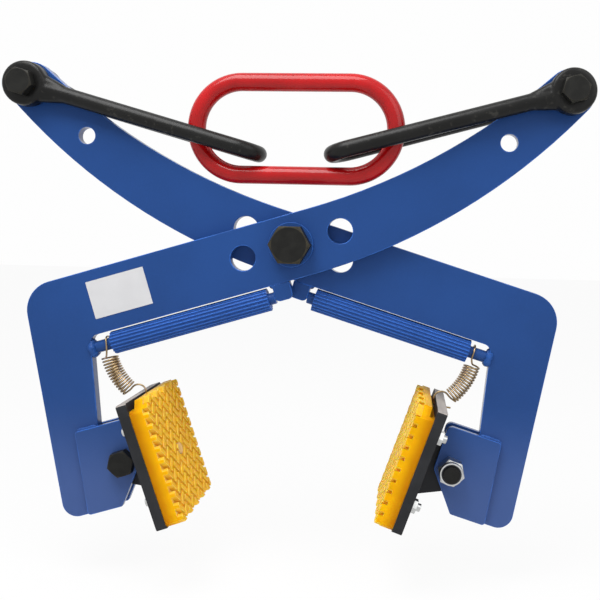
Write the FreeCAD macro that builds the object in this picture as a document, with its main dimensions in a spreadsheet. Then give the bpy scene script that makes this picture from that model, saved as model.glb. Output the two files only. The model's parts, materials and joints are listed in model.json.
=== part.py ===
"""Scissor-type lifting tongs with swivelling gripping pads, drawn with the jaws about half open.

X runs across the jaws, Y along the pivot bolt and Z up. The origin is the place where a hook
carries the lifting ring. One side is drawn once and used twice: the left leg with its horn, grip
and pad is the right one turned half round about the upright axis.
"""
import FreeCAD
import Part
import math
import os
import Sketcher
from FreeCAD import Placement, Rotation, Vector

SIZES = (
    # arm plate, drawn with its bar level and the pivot at the origin
    ("plate_thickness", "12"),
    ("arm_gap", "1"),
    ("bar_angle", "17"),
    ("bar_upper", "30"),
    ("bar_lower", "34"),
    ("horn_upper_corner", "159"),
    ("horn_lower_corner", "167"),
    ("horn_upper_radius", "620"),
    ("horn_lower_radius", "600"),
    ("horn_angle", "26.7"),
    ("eye_along", "301"),
    ("eye_rise", "68"),
    ("eye_radius", "23.5"),
    ("elbow_along", "272.5"),
    ("elbow_radius", "30"),
    ("leg_drop", "206.5"),
    ("leg_outer_foot", "297.5"),
    ("leg_top_width", "52.9"),
    ("leg_foot_width", "42.6"),
    ("leg_inner_radius", "8"),
    ("foot_outer_radius", "15"),
    ("foot_inner_radius", "3"),
    ("row_hole_along", "50"),
    ("row_hole_radius", "12.5"),
    ("spare_hole_back", "69.3"),
    ("spare_hole_below", "30"),
    ("spare_hole_radius", "8.5"),
    # fits and cuts
    ("running_clearance", "0.06"),
    ("hole_clearance", "0.15"),
    ("overrun", "40"),
    # pivot fastener
    ("pivot_radius", "12"),
    ("pivot_flats", "36"),
    ("pivot_head", "15"),
    ("pivot_nut", "19"),
    ("pivot_end", "5"),
    ("pivot_washer_radius", "22"),
    ("pivot_washer_thickness", "4"),
    ("wear_washer_radius", "28"),
    # bolts at the shackles and feet
    ("bolt_radius", "8"),
    ("bolt_flats", "24"),
    ("bolt_head", "10"),
    ("bolt_nut", "13"),
    ("bolt_collar", "3.5"),
    ("bolt_end", "3"),
    # cheeks and foot
    ("cheek_thickness", "6"),
    ("cheek_nose_reach", "16.1"),
    ("cheek_nose_drop", "4.7"),
    ("cheek_rise", "41.3"),
    ("cheek_top_reach", "39.4"),
    ("cheek_lap", "15.6"),
    ("cheek_heel", "20.5"),
    ("cheek_corner", "6"),
    ("foot_bolt_inset", "25.46"),
    ("foot_bolt_rise", "43.2"),
    # hand grip
    ("grip_drop", "46.5"),
    ("rod_radius", "6"),
    ("lug_start", "12"),
    ("lug_end", "30"),
    ("lug_drop", "51"),
    ("lug_corner", "5"),
    ("grip_start", "37"),
    ("grip_end_gap", "19.4"),
    ("grip_radius", "11.5"),
    ("grip_wall_clearance", "0.05"),
    ("grip_groove_radius", "1.3"),
    ("grip_rib_count", "20"),
    # shackles
    ("shackle_angle", "15.4"),
    ("shackle_tip_gap", "29.8"),
    ("shackle_bar_radius", "8.25"),
    ("shackle_bend_radius", "19.1"),
    ("shackle_eye_radius", "22"),
    ("shackle_eye_thickness", "17.5"),
    ("shackle_eye_round", "4"),
    ("shackle_neck_reach", "46"),
    ("shackle_neck_rise", "18"),
    ("shackle_neck_half", "7"),
    ("shackle_neck_round", "6"),
    ("shackle_side_gap", "0.5"),
    # lifting ring
    ("ring_rest", "114.6"),
    ("ring_width", "219"),
    ("ring_height", "110"),
    ("ring_wire_radius", "9"),
    # pad backing plate, drawn from the foot bolt with the pad upright
    ("pad_tilt", "19.2"),
    ("pad_offset", "27.5"),
    ("pad_plate_thickness", "10"),
    ("pad_height", "125.2"),
    ("pad_depth", "108"),
    ("pad_centre_drop", "3.3"),
    ("pad_plate_corner", "3"),
    ("bracket_thickness", "11"),
    ("bracket_eye", "17"),
    ("bracket_round", "16"),
    ("bracket_upper", "24"),
    ("bracket_lower", "40"),
    ("stud_radius", "4"),
    ("stud_drop", "2.3"),
    ("stud_depth_spread", "30"),
    ("stud_height_spread", "36"),
    ("stud_flats", "13"),
    ("stud_nut", "6.5"),
    ("stud_end", "4"),
    # moulded pad
    ("mould_thickness", "13"),
    ("mould_inset", "1"),
    ("groove_depth", "5"),
    ("groove_drop", "9"),
    ("mould_chamfer", "11"),
    ("mould_corner", "3"),
    ("block_height", "5.5"),
    ("block_pitch", "8"),
    ("block_gap", "3"),
    ("plug_radius", "6.5"),
    ("plug_depth", "7"),
    # return spring
    ("spring_wire", "1.8"),
    ("spring_radius", "6.85"),
    ("spring_turns", "13"),
    ("spring_lead", "14"),
    ("spring_length", "33.7"),
    ("rod_hook_gap", "5.6"),
    ("rod_hook_radius", "7.9"),
    ("plate_hook_radius", "8"),
    ("plate_hook_lift", "1.5"),
    ("hook_hole_drop", "5.6"),
    ("hook_hole_radius", "2.7"),
)

# Shares of a hexagon's width over flats for the turned edge of a head or nut, and for a collar.
HEX_EDGE_SHARES = {"inner": 0.47, "outer": 0.62, "depth": 0.075}
COLLAR_SHARE = 0.47
# A sine below this share counts as straight.
STRAIGHT_SHARE = 1e-7

# Places that several pieces share, as expressions in the named sizes.
LEG_INNER_TOP = "(Sizes.elbow_along - Sizes.leg_top_width)"
LEG_INNER_FOOT = "(Sizes.leg_outer_foot - Sizes.leg_foot_width)"
FOOT_BOLT_DROP = "(Sizes.leg_drop - Sizes.foot_bolt_rise)"
LEG_SLOPE = "(%s - %s) / (Sizes.leg_drop - Sizes.bar_lower)" % (LEG_INNER_FOOT, LEG_INNER_TOP)
FOOT_BOLT_ALONG = ("(%s + %s * (%s - Sizes.bar_lower) - Sizes.foot_bolt_inset)"
                   % (LEG_INNER_TOP, LEG_SLOPE, FOOT_BOLT_DROP))
GRIP_END = "(Sizes.elbow_along - Sizes.leg_top_width - Sizes.grip_end_gap)"
ROD_HOOK = "(Sizes.elbow_along - Sizes.leg_top_width - Sizes.rod_hook_gap)"
EYE_ACROSS = ("(Sizes.eye_along * cos(Sizes.bar_angle * 1 deg)"
              " - Sizes.eye_rise * sin(Sizes.bar_angle * 1 deg))")
SHACKLE_REACH = "((%s - Sizes.shackle_tip_gap) / cos(Sizes.shackle_angle * 1 deg))" % EYE_ACROSS

os.makedirs("parts", exist_ok=True)
doc = FreeCAD.newDocument("lifting_tongs")
sheet = doc.addObject("Spreadsheet::Sheet", "Sizes")
for row, (alias, text) in enumerate(SIZES, 1):
    sheet.set("A%d" % row, alias)
    sheet.set("B%d" % row, text)
    sheet.setAlias("B%d" % row, alias)
doc.recompute()
nodes = []


def size(alias):
    """Value of one cell."""
    return float(sheet.get(alias))


def value(item, text):
    """Value of an expression as the document sees it."""
    return float(item.evalExpression(text))


def measure(text):
    """Value of an expression in the named sizes."""
    return value(sheet, text)


def role(body, name):
    """Plane or axis from a body's own origin."""
    return [item for item in body.Origin.OriginFeatures if item.Role == name][0]


def new_body(label, frame):
    """Empty body that becomes one node, placed in its frame."""
    body = doc.addObject("PartDesign::Body", label)
    body.Label = label
    body.Placement = frame
    nodes.append(body)
    return body


def new_sketch(body, plane, offset=None):
    """Sketch on an origin plane, moved along the plane's normal if an offset is given."""
    sketch = body.newObject("Sketcher::SketchObject", body.Label + "_sketch")
    sketch.AttachmentSupport = [(role(body, plane), "")]
    sketch.MapMode = "FlatFace"
    if offset:
        sketch.setExpression("AttachmentOffset.Base.z", offset)
    return sketch


def bind(sketch, constraint, text):
    """Add a dimension to a sketch and drive it with an expression."""
    index = sketch.addConstraint(constraint)
    sketch.setExpression("Constraints[%d]" % index, text)


def hold(sketch, geometry, end, across, up):
    """Hold one point of a sketch at two expressions."""
    for kind, text in (("DistanceX", across), ("DistanceY", up)):
        bind(sketch, Sketcher.Constraint(kind, -1, 1, geometry, end, value(sketch, text)), text)


def circle(sketch, across, up, radius):
    """Circle with its centre and radius driven by expressions."""
    centre = Vector(value(sketch, across), value(sketch, up), 0)
    shape = Part.Circle(centre, Vector(0, 0, 1), value(sketch, radius))
    index = sketch.addGeometry(shape, False)
    hold(sketch, index, 3, across, up)
    bind(sketch, Sketcher.Constraint("Radius", index, value(sketch, radius)), radius)


def rounding(before, here, after, radius):
    """Start, end and centre of the arc that rounds a corner."""
    back = (before - here).normalize()
    ahead = (after - here).normalize()
    half = back.getAngle(ahead) / 2
    reach = radius / math.tan(half)
    centre = here + (back + ahead).normalize() * (radius / math.sin(half))
    return here + back * reach, here + ahead * reach, centre


def corner_arc(sketch, here, ends, radius, lines, corner):
    """Arc at a rounded corner, tangent to both edges, with the corner held as a point."""
    arrive, leave, centre = ends
    left_turn = (here - arrive).cross(leave - here).z > 0
    start, end = (arrive, leave) if left_turn else (leave, arrive)
    first = math.atan2(start.y - centre.y, start.x - centre.x)
    last = math.atan2(end.y - centre.y, end.x - centre.x)
    if last < first:
        last += 2 * math.pi
    shape = Part.ArcOfCircle(Part.Circle(centre, Vector(0, 0, 1), radius), first, last)
    arc = sketch.addGeometry(shape, False)
    point = sketch.addGeometry(Part.Point(here), True)
    near, far = (1, 2) if left_turn else (2, 1)
    sketch.addConstraint(Sketcher.Constraint("Tangent", lines[0], 2, arc, near))
    sketch.addConstraint(Sketcher.Constraint("Tangent", arc, far, lines[1], 1))
    sketch.addConstraint(Sketcher.Constraint("PointOnObject", point, 1, lines[0]))
    sketch.addConstraint(Sketcher.Constraint("PointOnObject", point, 1, lines[1]))
    bind(sketch, Sketcher.Constraint("Radius", arc, radius), corner[2])
    hold(sketch, point, 1, corner[0], corner[1])


def outline(sketch, corners):
    """Closed outline of straight edges; a third entry in a corner rounds it."""
    points = [Vector(value(sketch, c[0]), value(sketch, c[1]), 0) for c in corners]
    count = len(points)
    ends = []
    for i, corner in enumerate(corners):
        if len(corner) == 3:
            radius = value(sketch, corner[2])
            ends.append(rounding(points[i - 1], points[i], points[(i + 1) % count], radius))
        else:
            ends.append((points[i], points[i], None))
    lines = []
    for i in range(count):
        edge = Part.LineSegment(ends[i][1], ends[(i + 1) % count][0])
        lines.append(sketch.addGeometry(edge, False))
    for i, corner in enumerate(corners):
        if len(corner) == 3:
            pair = (lines[i - 1], lines[i])
            corner_arc(sketch, points[i], ends[i], value(sketch, corner[2]), pair, corner)
        else:
            sketch.addConstraint(Sketcher.Constraint("Coincident", lines[i - 1], 2, lines[i], 1))
            hold(sketch, lines[i], 1, corner[0], corner[1])


def hexagon(sketch, across, up, flats):
    """Hexagon over flats round a point."""
    corners = []
    for step in range(6):
        turn = math.radians(60 * step)
        corner_shares = (math.cos(turn) / math.sqrt(3), math.sin(turn) / math.sqrt(3))
        corners.append(("%s + %s * %.9f" % (across, flats, corner_shares[0]),
                        "%s + %s * %.9f" % (up, flats, corner_shares[1])))
    outline(sketch, corners)


def pad(body, sketch, length, both_ways=True, backwards=False):
    """Solid from a sketch."""
    feature = body.newObject("PartDesign::Pad", body.Label + "_pad")
    feature.Profile = sketch
    feature.setExpression("Length", length)
    feature.Midplane = both_ways
    feature.Reversed = backwards
    sketch.Visibility = False
    return feature


def cut_through(body, sketch):
    """Cut a sketch right through a body, both ways."""
    feature = body.newObject("PartDesign::Pocket", body.Label + "_cut")
    feature.Profile = sketch
    feature.Type = "ThroughAll"
    feature.Midplane = True
    sketch.Visibility = False
    return feature


def arm(label, frame):
    """Arm plate: horn with its eye, bar with a row of holes, and leg."""
    body = new_body(label, frame)
    sketch = new_sketch(body, "XZ_Plane")
    lean = "Sizes.eye_radius * sin(Sizes.horn_angle * 1 deg)"
    stand = "Sizes.eye_radius * cos(Sizes.horn_angle * 1 deg)"
    outline(sketch, (
        ("Sizes.elbow_along", "Sizes.bar_upper", "Sizes.elbow_radius"),
        ("-Sizes.horn_upper_corner", "Sizes.bar_upper", "Sizes.horn_upper_radius"),
        ("-Sizes.eye_along + " + lean, "Sizes.eye_rise + " + stand),
        ("-Sizes.eye_along - " + lean, "Sizes.eye_rise - " + stand),
        ("-Sizes.horn_lower_corner", "-Sizes.bar_lower", "Sizes.horn_lower_radius"),
        (LEG_INNER_TOP, "-Sizes.bar_lower", "Sizes.leg_inner_radius"),
        (LEG_INNER_FOOT, "-Sizes.leg_drop", "Sizes.foot_inner_radius"),
        ("Sizes.leg_outer_foot", "-Sizes.leg_drop", "Sizes.foot_outer_radius")))
    pad(body, sketch, "Sizes.plate_thickness")
    sketch = new_sketch(body, "XZ_Plane")
    circle(sketch, "-Sizes.eye_along", "Sizes.eye_rise", "Sizes.eye_radius")
    pad(body, sketch, "Sizes.plate_thickness")
    sketch = new_sketch(body, "XZ_Plane")
    circle(sketch, "0", "0", "Sizes.pivot_radius + Sizes.running_clearance")
    circle(sketch, "Sizes.row_hole_along", "0", "Sizes.row_hole_radius")
    circle(sketch, "-Sizes.row_hole_along", "0", "Sizes.row_hole_radius")
    circle(sketch, "Sizes.spare_hole_back - Sizes.eye_along", "Sizes.eye_rise - Sizes.spare_hole_below",
           "Sizes.spare_hole_radius")
    circle(sketch, "-Sizes.eye_along", "Sizes.eye_rise", "Sizes.bolt_radius + Sizes.hole_clearance")
    cut_through(body, sketch)


def cheek(label, frame, sign):
    """Side plate at the foot; the sign says which side of the leg it lies on."""
    body = new_body(label, frame)
    offset = sign + "(Sizes.plate_thickness + Sizes.cheek_thickness) / 2"
    sketch = new_sketch(body, "XZ_Plane", offset)
    nose = FOOT_BOLT_ALONG + " - Sizes.cheek_nose_reach"
    top = "-%s + Sizes.cheek_rise" % FOOT_BOLT_DROP
    outline(sketch, (
        (nose, top, "Sizes.cheek_corner"),
        (nose, "-%s - Sizes.cheek_nose_drop" % FOOT_BOLT_DROP, "Sizes.cheek_corner"),
        (LEG_INNER_FOOT + " - Sizes.cheek_heel", "-Sizes.leg_drop", "Sizes.foot_inner_radius"),
        (LEG_INNER_FOOT + " + Sizes.cheek_lap", "-Sizes.leg_drop", "Sizes.foot_inner_radius"),
        (FOOT_BOLT_ALONG + " + Sizes.cheek_top_reach", top, "Sizes.foot_inner_radius")))
    circle(sketch, FOOT_BOLT_ALONG, "-" + FOOT_BOLT_DROP, "Sizes.bolt_radius + Sizes.hole_clearance")
    pad(body, sketch, "Sizes.cheek_thickness")


def grip_lug(label, frame):
    """Short lug under the bar that carries the inner end of the grip rod."""
    body = new_body(label, frame)
    sketch = new_sketch(body, "XZ_Plane")
    outline(sketch, (
        ("Sizes.lug_start", "-Sizes.bar_lower"),
        ("Sizes.lug_start", "-Sizes.lug_drop", "Sizes.lug_corner"),
        ("Sizes.lug_end", "-Sizes.lug_drop", "Sizes.lug_corner"),
        ("Sizes.lug_end", "-Sizes.bar_lower")))
    pad(body, sketch, "Sizes.plate_thickness")


def grip_rod(label, frame):
    """Rod from the lug to the leg, its outer end cut to the slope of the leg."""
    body = new_body(label, frame)
    sketch = new_sketch(body, "YZ_Plane", "Sizes.lug_end")
    circle(sketch, "0", "-Sizes.grip_drop", "Sizes.rod_radius")
    pad(body, sketch, LEG_INNER_FOOT + " - Sizes.lug_end", False)
    sketch = new_sketch(body, "XZ_Plane")
    outline(sketch, (
        (LEG_INNER_TOP, "-Sizes.bar_lower"),
        (LEG_INNER_FOOT, "-Sizes.leg_drop"),
        (LEG_INNER_FOOT + " + Sizes.overrun", "-Sizes.leg_drop"),
        (LEG_INNER_FOOT + " + Sizes.overrun", "-Sizes.bar_lower")))
    cut_through(body, sketch)


def grip_sleeve(label, frame):
    """Ribbed sleeve round the grip rod."""
    place = Placement(Vector(size("grip_start"), 0, -size("grip_drop")), Rotation())
    body = new_body(label, frame * place)
    sketch = new_sketch(body, "YZ_Plane")
    circle(sketch, "0", "0", "Sizes.grip_radius")
    circle(sketch, "0", "0", "Sizes.rod_radius + Sizes.grip_wall_clearance")
    pad(body, sketch, GRIP_END + " - Sizes.grip_start", False)
    sketch = new_sketch(body, "YZ_Plane")
    circle(sketch, "0", "Sizes.grip_radius", "Sizes.grip_groove_radius")
    groove = cut_through(body, sketch)
    pattern = body.newObject("PartDesign::PolarPattern", label + "_ribs")
    pattern.Originals = [groove]
    pattern.Axis = (role(body, "X_Axis"), [""])
    pattern.Angle = 360
    pattern.setExpression("Occurrences", "Sizes.grip_rib_count")
    body.Tip = pattern


def turned_edge(body, flats, near, far):
    """Turn the corners off the outer end of a hexagon whose axis is the second one."""
    sketch = new_sketch(body, "YZ_Plane")
    inner = "%s * %.4f" % (flats, HEX_EDGE_SHARES["inner"])
    outer = "%s * %.4f" % (flats, HEX_EDGE_SHARES["outer"])
    depth = "%s * %.4f" % (flats, HEX_EDGE_SHARES["depth"])
    outline(sketch, ((near, inner), (near, outer), (near + far + depth, outer)))
    feature = body.newObject("PartDesign::Groove", body.Label + "_edge")
    feature.Profile = sketch
    feature.ReferenceAxis = (role(body, "Y_Axis"), [""])
    feature.Angle = 360
    sketch.Visibility = False


def bolt(label, frame, half, flats, head, radius, length):
    """Hexagon bolt along the second axis, head in front of the clamped pieces."""
    body = new_body(label, frame)
    sketch = new_sketch(body, "XZ_Plane", half)
    hexagon(sketch, "0", "0", flats)
    pad(body, sketch, head, False)
    turned_edge(body, flats, "-(%s) - %s" % (half, head), " + ")
    sketch = new_sketch(body, "XZ_Plane", half)
    circle(sketch, "0", "0", radius)
    pad(body, sketch, length, False, True)


def nut(label, frame, half, flats, height, radius, collar=None):
    """Hexagon nut behind the clamped pieces, with a round locking collar if one is given."""
    body = new_body(label, frame)
    bore = radius + " + Sizes.running_clearance"
    sketch = new_sketch(body, "XZ_Plane", "-(%s)" % half)
    hexagon(sketch, "0", "0", flats)
    circle(sketch, "0", "0", bore)
    pad(body, sketch, height, False, True)
    turned_edge(body, flats, "%s + %s" % (half, height), " - ")
    if collar:
        sketch = new_sketch(body, "XZ_Plane", "-(%s) - %s" % (half, height))
        circle(sketch, "0", "0", "%s * %.4f" % (flats, COLLAR_SHARE))
        circle(sketch, "0", "0", bore)
        pad(body, sketch, collar, False, True)


def disc(body, offset, outer, inner, thickness):
    """Flat ring across the second axis."""
    sketch = new_sketch(body, "XZ_Plane", offset)
    circle(sketch, "0", "0", outer)
    circle(sketch, "0", "0", inner)
    pad(body, sketch, thickness)


def neck_section(body, along, middle, rise):
    """Section of a shackle's neck, as thick as the bar allows and rounded at its corners."""
    sketch = new_sketch(body, "YZ_Plane", along)
    corners = []
    for side, end in ((" + ", ""), (" - ", ""), (" - ", "-"), (" + ", "-")):
        corners.append((middle + side + "Sizes.shackle_neck_half", end + rise, "Sizes.shackle_neck_round"))
    outline(sketch, corners)
    sketch.Visibility = False
    return sketch


def shackle(label, frame):
    """Forged shackle: two eyes on the bolt, their necks and a round bar bent back to join them."""
    body = new_body(label, frame)
    inside = "(Sizes.plate_thickness / 2 + Sizes.shackle_side_gap)"
    middle = inside + " + Sizes.shackle_bar_radius"
    bend = SHACKLE_REACH + " - Sizes.shackle_bar_radius - Sizes.shackle_bend_radius"
    path = new_sketch(body, "XY_Plane")
    start = value(path, middle)
    centre = value(path, bend)
    radius = value(path, "Sizes.shackle_bend_radius")
    first = path.addGeometry(Part.LineSegment(Vector(0, -start, 0), Vector(centre, -radius, 0)), False)
    bow = Part.Circle(Vector(centre, 0, 0), Vector(0, 0, 1), radius)
    second = path.addGeometry(Part.ArcOfCircle(bow, -math.pi / 2, math.pi / 2), False)
    third = path.addGeometry(Part.LineSegment(Vector(centre, radius, 0), Vector(0, start, 0)), False)
    path.addConstraint(Sketcher.Constraint("Tangent", first, 2, second, 1))
    path.addConstraint(Sketcher.Constraint("Tangent", second, 2, third, 1))
    hold(path, first, 1, "0", "-(%s)" % middle)
    hold(path, third, 2, "0", middle)
    bind(path, Sketcher.Constraint("Radius", second, radius), "Sizes.shackle_bend_radius")
    bind(path, Sketcher.Constraint("DistanceX", -1, 1, second, 3, centre), bend)
    section = new_sketch(body, "YZ_Plane")
    circle(section, "-(%s)" % middle, "0", "Sizes.shackle_bar_radius")
    bar = body.newObject("PartDesign::AdditivePipe", label + "_bar")
    bar.Profile = section
    bar.Spine = (path, ["Edge1", "Edge2", "Edge3"])
    path.Visibility = False
    section.Visibility = False
    for sign in ("", "-"):
        across = sign + "(%s)" % middle
        wide = neck_section(body, "0", across, "Sizes.shackle_neck_rise")
        slim = neck_section(body, "Sizes.shackle_neck_reach", across, "Sizes.shackle_neck_half")
        neck = body.newObject("PartDesign::AdditiveLoft", label + "_neck")
        neck.Profile = wide
        neck.Sections = [slim]
    sketch = new_sketch(body, "XY_Plane")
    outside = inside + " + Sizes.shackle_eye_thickness"
    for sign in ("", "-"):
        outline(sketch, (
            ("0", sign + "(%s)" % inside),
            ("Sizes.shackle_eye_radius", sign + "(%s)" % inside, "Sizes.shackle_side_gap"),
            ("Sizes.shackle_eye_radius", sign + "(%s)" % outside, "Sizes.shackle_eye_round"),
            ("0", sign + "(%s)" % outside)))
    eyes = body.newObject("PartDesign::Revolution", label + "_eyes")
    eyes.Profile = sketch
    eyes.ReferenceAxis = (role(body, "Y_Axis"), [""])
    eyes.Angle = 360
    sketch.Visibility = False
    sketch = new_sketch(body, "XZ_Plane")
    circle(sketch, "0", "0", "Sizes.bolt_radius + Sizes.running_clearance")
    cut_through(body, sketch)


def lifting_ring(label, frame):
    """Oblong ring of round bar, closed on itself."""
    body = new_body(label, frame)
    path = new_sketch(body, "XZ_Plane")
    bend = "(Sizes.ring_height / 2 - Sizes.ring_wire_radius)"
    reach = "(Sizes.ring_width / 2 - Sizes.ring_height / 2)"
    radius = value(path, bend)
    half = value(path, reach)
    upright = Vector(0, 0, 1)
    top = path.addGeometry(Part.LineSegment(Vector(half, radius, 0), Vector(-half, radius, 0)), False)
    bow = Part.Circle(Vector(-half, 0, 0), upright, radius)
    left = path.addGeometry(Part.ArcOfCircle(bow, math.pi / 2, 3 * math.pi / 2), False)
    low = path.addGeometry(Part.LineSegment(Vector(-half, -radius, 0), Vector(half, -radius, 0)), False)
    bow = Part.Circle(Vector(half, 0, 0), upright, radius)
    right = path.addGeometry(Part.ArcOfCircle(bow, -math.pi / 2, math.pi / 2), False)
    for before, after in ((top, left), (left, low), (low, right), (right, top)):
        path.addConstraint(Sketcher.Constraint("Tangent", before, 2, after, 1))
    bind(path, Sketcher.Constraint("Radius", left, radius), bend)
    hold(path, left, 3, "-" + reach, "0")
    hold(path, right, 3, reach, "0")
    section = new_sketch(body, "YZ_Plane", reach)
    circle(section, "0", bend, "Sizes.ring_wire_radius")
    bar = body.newObject("PartDesign::AdditivePipe", label + "_bar")
    bar.Profile = section
    bar.Spine = (path, ["Edge1", "Edge2", "Edge3", "Edge4"])
    path.Visibility = False
    section.Visibility = False


def pad_rows():
    """Places of the four studs on a pad, as pairs of expressions."""
    places = []
    for side in ("", "-"):
        for end in (" + ", " - "):
            places.append((side + "Sizes.stud_depth_spread",
                           "-Sizes.pad_centre_drop - Sizes.stud_drop" + end + "Sizes.stud_height_spread"))
    return places


def pad_edge(inset, corner=None):
    """Four corners of a pad's outline, set in from the backing plate's edge."""
    corners = []
    for side, end in (("", " + "), ("-", " + "), ("-", " - "), ("", " - ")):
        place = (side + "(Sizes.pad_depth / 2 - %s)" % inset,
                 "-Sizes.pad_centre_drop%s(Sizes.pad_height / 2 - %s)" % (end, inset))
        corners.append(place + (corner,) if corner else place)
    return corners


def pad_plate(label, frame):
    """Backing plate with holes for the studs and for the spring's hook."""
    body = new_body(label, frame)
    sketch = new_sketch(body, "YZ_Plane", "-Sizes.pad_offset - Sizes.pad_plate_thickness / 2")
    outline(sketch, pad_edge("0", "Sizes.pad_plate_corner"))
    for across, up in pad_rows():
        circle(sketch, across, up, "Sizes.stud_radius + Sizes.hole_clearance")
    circle(sketch, "0", "Sizes.pad_height / 2 - Sizes.pad_centre_drop - Sizes.hook_hole_drop",
           "Sizes.hook_hole_radius")
    pad(body, sketch, "Sizes.pad_plate_thickness")


def pad_bracket(label, frame):
    """Lug on the back of the plate that turns on the foot bolt between the cheeks."""
    body = new_body(label, frame)
    sketch = new_sketch(body, "XZ_Plane")
    outline(sketch, (
        ("-Sizes.pad_offset", "Sizes.bracket_upper"),
        ("-Sizes.pad_offset", "-Sizes.bracket_lower"),
        ("Sizes.bracket_eye", "-Sizes.bracket_eye", "Sizes.bracket_round"),
        ("Sizes.bracket_eye", "Sizes.bracket_eye", "Sizes.bracket_round")))
    circle(sketch, "0", "0", "Sizes.bolt_radius + Sizes.running_clearance")
    pad(body, sketch, "Sizes.bracket_thickness")


def pad_studs(label, frame):
    """Four studs from the moulded pad through the backing plate."""
    body = new_body(label, frame)
    body.AllowCompound = True
    sketch = new_sketch(body, "YZ_Plane", "-Sizes.pad_offset - Sizes.pad_plate_thickness")
    for across, up in pad_rows():
        circle(sketch, across, up, "Sizes.stud_radius")
    pad(body, sketch, "Sizes.pad_plate_thickness + Sizes.stud_nut + Sizes.stud_end", False)


def pad_nuts(label, frame):
    """Four nuts on the back of the backing plate."""
    body = new_body(label, frame)
    body.AllowCompound = True
    sketch = new_sketch(body, "YZ_Plane", "-Sizes.pad_offset")
    for across, up in pad_rows():
        hexagon(sketch, across, up, "Sizes.stud_flats")
        circle(sketch, across, up, "Sizes.stud_radius + Sizes.running_clearance")
    pad(body, sketch, "Sizes.stud_nut", False)


def clipped(points, edges):
    """Part of a convex shape that lies inside a convex outline of (point, inward) edges."""
    for base, inward in edges:
        kept = []
        for i, here in enumerate(points):
            before = points[i - 1]
            depth_here = (here - base).dot(inward)
            depth_before = (before - base).dot(inward)
            if depth_here * depth_before < 0:
                share = depth_before / (depth_before - depth_here)
                kept.append(before + (here - before) * share)
            if depth_here >= 0:
                kept.append(here)
        points = kept
        if len(points) < 3:
            return []
    return points


def pad_blocks(sketch, corners):
    """Herringbone of bars two pitches long, at 45 degrees, trimmed at the pad's outline."""
    pitch = size("block_pitch")
    gap = size("block_gap")
    middle = Vector(0, -size("pad_centre_drop"), 0)
    edges = []
    for i, here in enumerate(corners):
        along = here - corners[i - 1]
        edges.append((here, Vector(-along.y, along.x, 0).normalize()))
    slant = Vector(1, 1, 0).normalize()
    cross = Vector(-1, 1, 0).normalize()
    reach = int(size("pad_height") / pitch) + 1
    for column in range(-reach, reach + 1):
        for row in range(-reach, reach + 1):
            kind = (column - row) % 4
            if kind == 0:
                place = middle + slant * ((column + 1) * pitch) + cross * ((row + 1 / 2) * pitch)
                long, short = slant, cross
            elif kind == 3:
                place = middle + slant * ((column + 1 / 2) * pitch) + cross * ((row + 1) * pitch)
                long, short = cross, slant
            else:
                continue
            long = long * (pitch - gap / 2)
            short = short * ((pitch - gap) / 2)
            block = [place + long + short, place - long + short]
            block += [place - long - short, place + long - short]
            block = clipped(block, edges)
            if not block:
                continue
            if Part.Face(Part.makePolygon(block + block[:1])).Area < gap * pitch:
                continue
            for i, here in enumerate(block):
                sketch.addGeometry(Part.LineSegment(block[i - 1], here), False)


def mould_corners(long_side):
    """Eight corners of the moulded pad: a long cut at the top of one side and short cuts elsewhere."""
    deep = "(Sizes.pad_depth / 2 - Sizes.mould_inset)"
    tall = "(Sizes.pad_height / 2 - Sizes.mould_inset)"
    corners = []
    for side, end, upright_first in (("", " + ", True), ("-", " + ", False),
                                     ("-", " - ", True), ("", " - ", False)):
        back = " - " if end == " + " else " + "
        inward = " - " if side == "" else " + "
        long_cut = side == long_side and end == " + "
        cut = "Sizes.mould_chamfer" if long_cut else "Sizes.mould_corner"
        upright = (side + deep, "-Sizes.pad_centre_drop" + end + tall + back + cut)
        level = (side + deep + inward + cut, "-Sizes.pad_centre_drop" + end + tall)
        corners += [upright, level] if upright_first else [level, upright]
    return corners


def pocket(body, sketch, depth, backwards):
    """Blind cut from a sketch."""
    feature = body.newObject("PartDesign::Pocket", body.Label + "_cut")
    feature.Profile = sketch
    feature.setExpression("Length", depth)
    feature.Reversed = backwards
    sketch.Visibility = False


def moulded_pad(label, frame, long_side):
    """Moulded pad with cut corners, a groove for the spring's hook and a herringbone face."""
    body = new_body(label, frame)
    back = "-Sizes.pad_offset - Sizes.pad_plate_thickness"
    sketch = new_sketch(body, "YZ_Plane", back)
    corners = mould_corners(long_side)
    outline(sketch, corners)
    pad(body, sketch, "Sizes.mould_thickness", False, True)
    points = [Vector(value(sketch, c[0]), value(sketch, c[1]), 0) for c in corners]
    sketch = new_sketch(body, "YZ_Plane", back + " - Sizes.mould_thickness")
    pad_blocks(sketch, points)
    pad(body, sketch, "Sizes.block_height", False, True)
    sketch = new_sketch(body, "YZ_Plane", back + " - Sizes.mould_thickness - Sizes.block_height")
    circle(sketch, "0", "-Sizes.pad_centre_drop - Sizes.stud_drop", "Sizes.plug_radius")
    pocket(body, sketch, "Sizes.plug_depth", True)
    sketch = new_sketch(body, "YZ_Plane", back)
    low = "Sizes.pad_height / 2 - Sizes.pad_centre_drop - Sizes.groove_drop"
    wide = "(Sizes.pad_depth / 2 + Sizes.overrun)"
    outline(sketch, (("-" + wide, low), (wide, low),
                     (wide, low + " + Sizes.overrun"), ("-" + wide, low + " + Sizes.overrun")))
    pocket(body, sketch, "Sizes.groove_depth", False)


def arc_edge(start, end, corner):
    """Arc from one point to another whose end tangents meet at a corner point."""
    chord = end - start
    middle = (start + end) / 2
    angle = (corner - start).getAngle(chord)
    if math.sin(angle) < STRAIGHT_SHARE:
        return Part.makeLine(start, end)
    bulge = (corner - middle).normalize() * (chord.Length / 2 * math.tan(angle / 2))
    return Part.Arc(start, middle + bulge, end).toShape()


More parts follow.
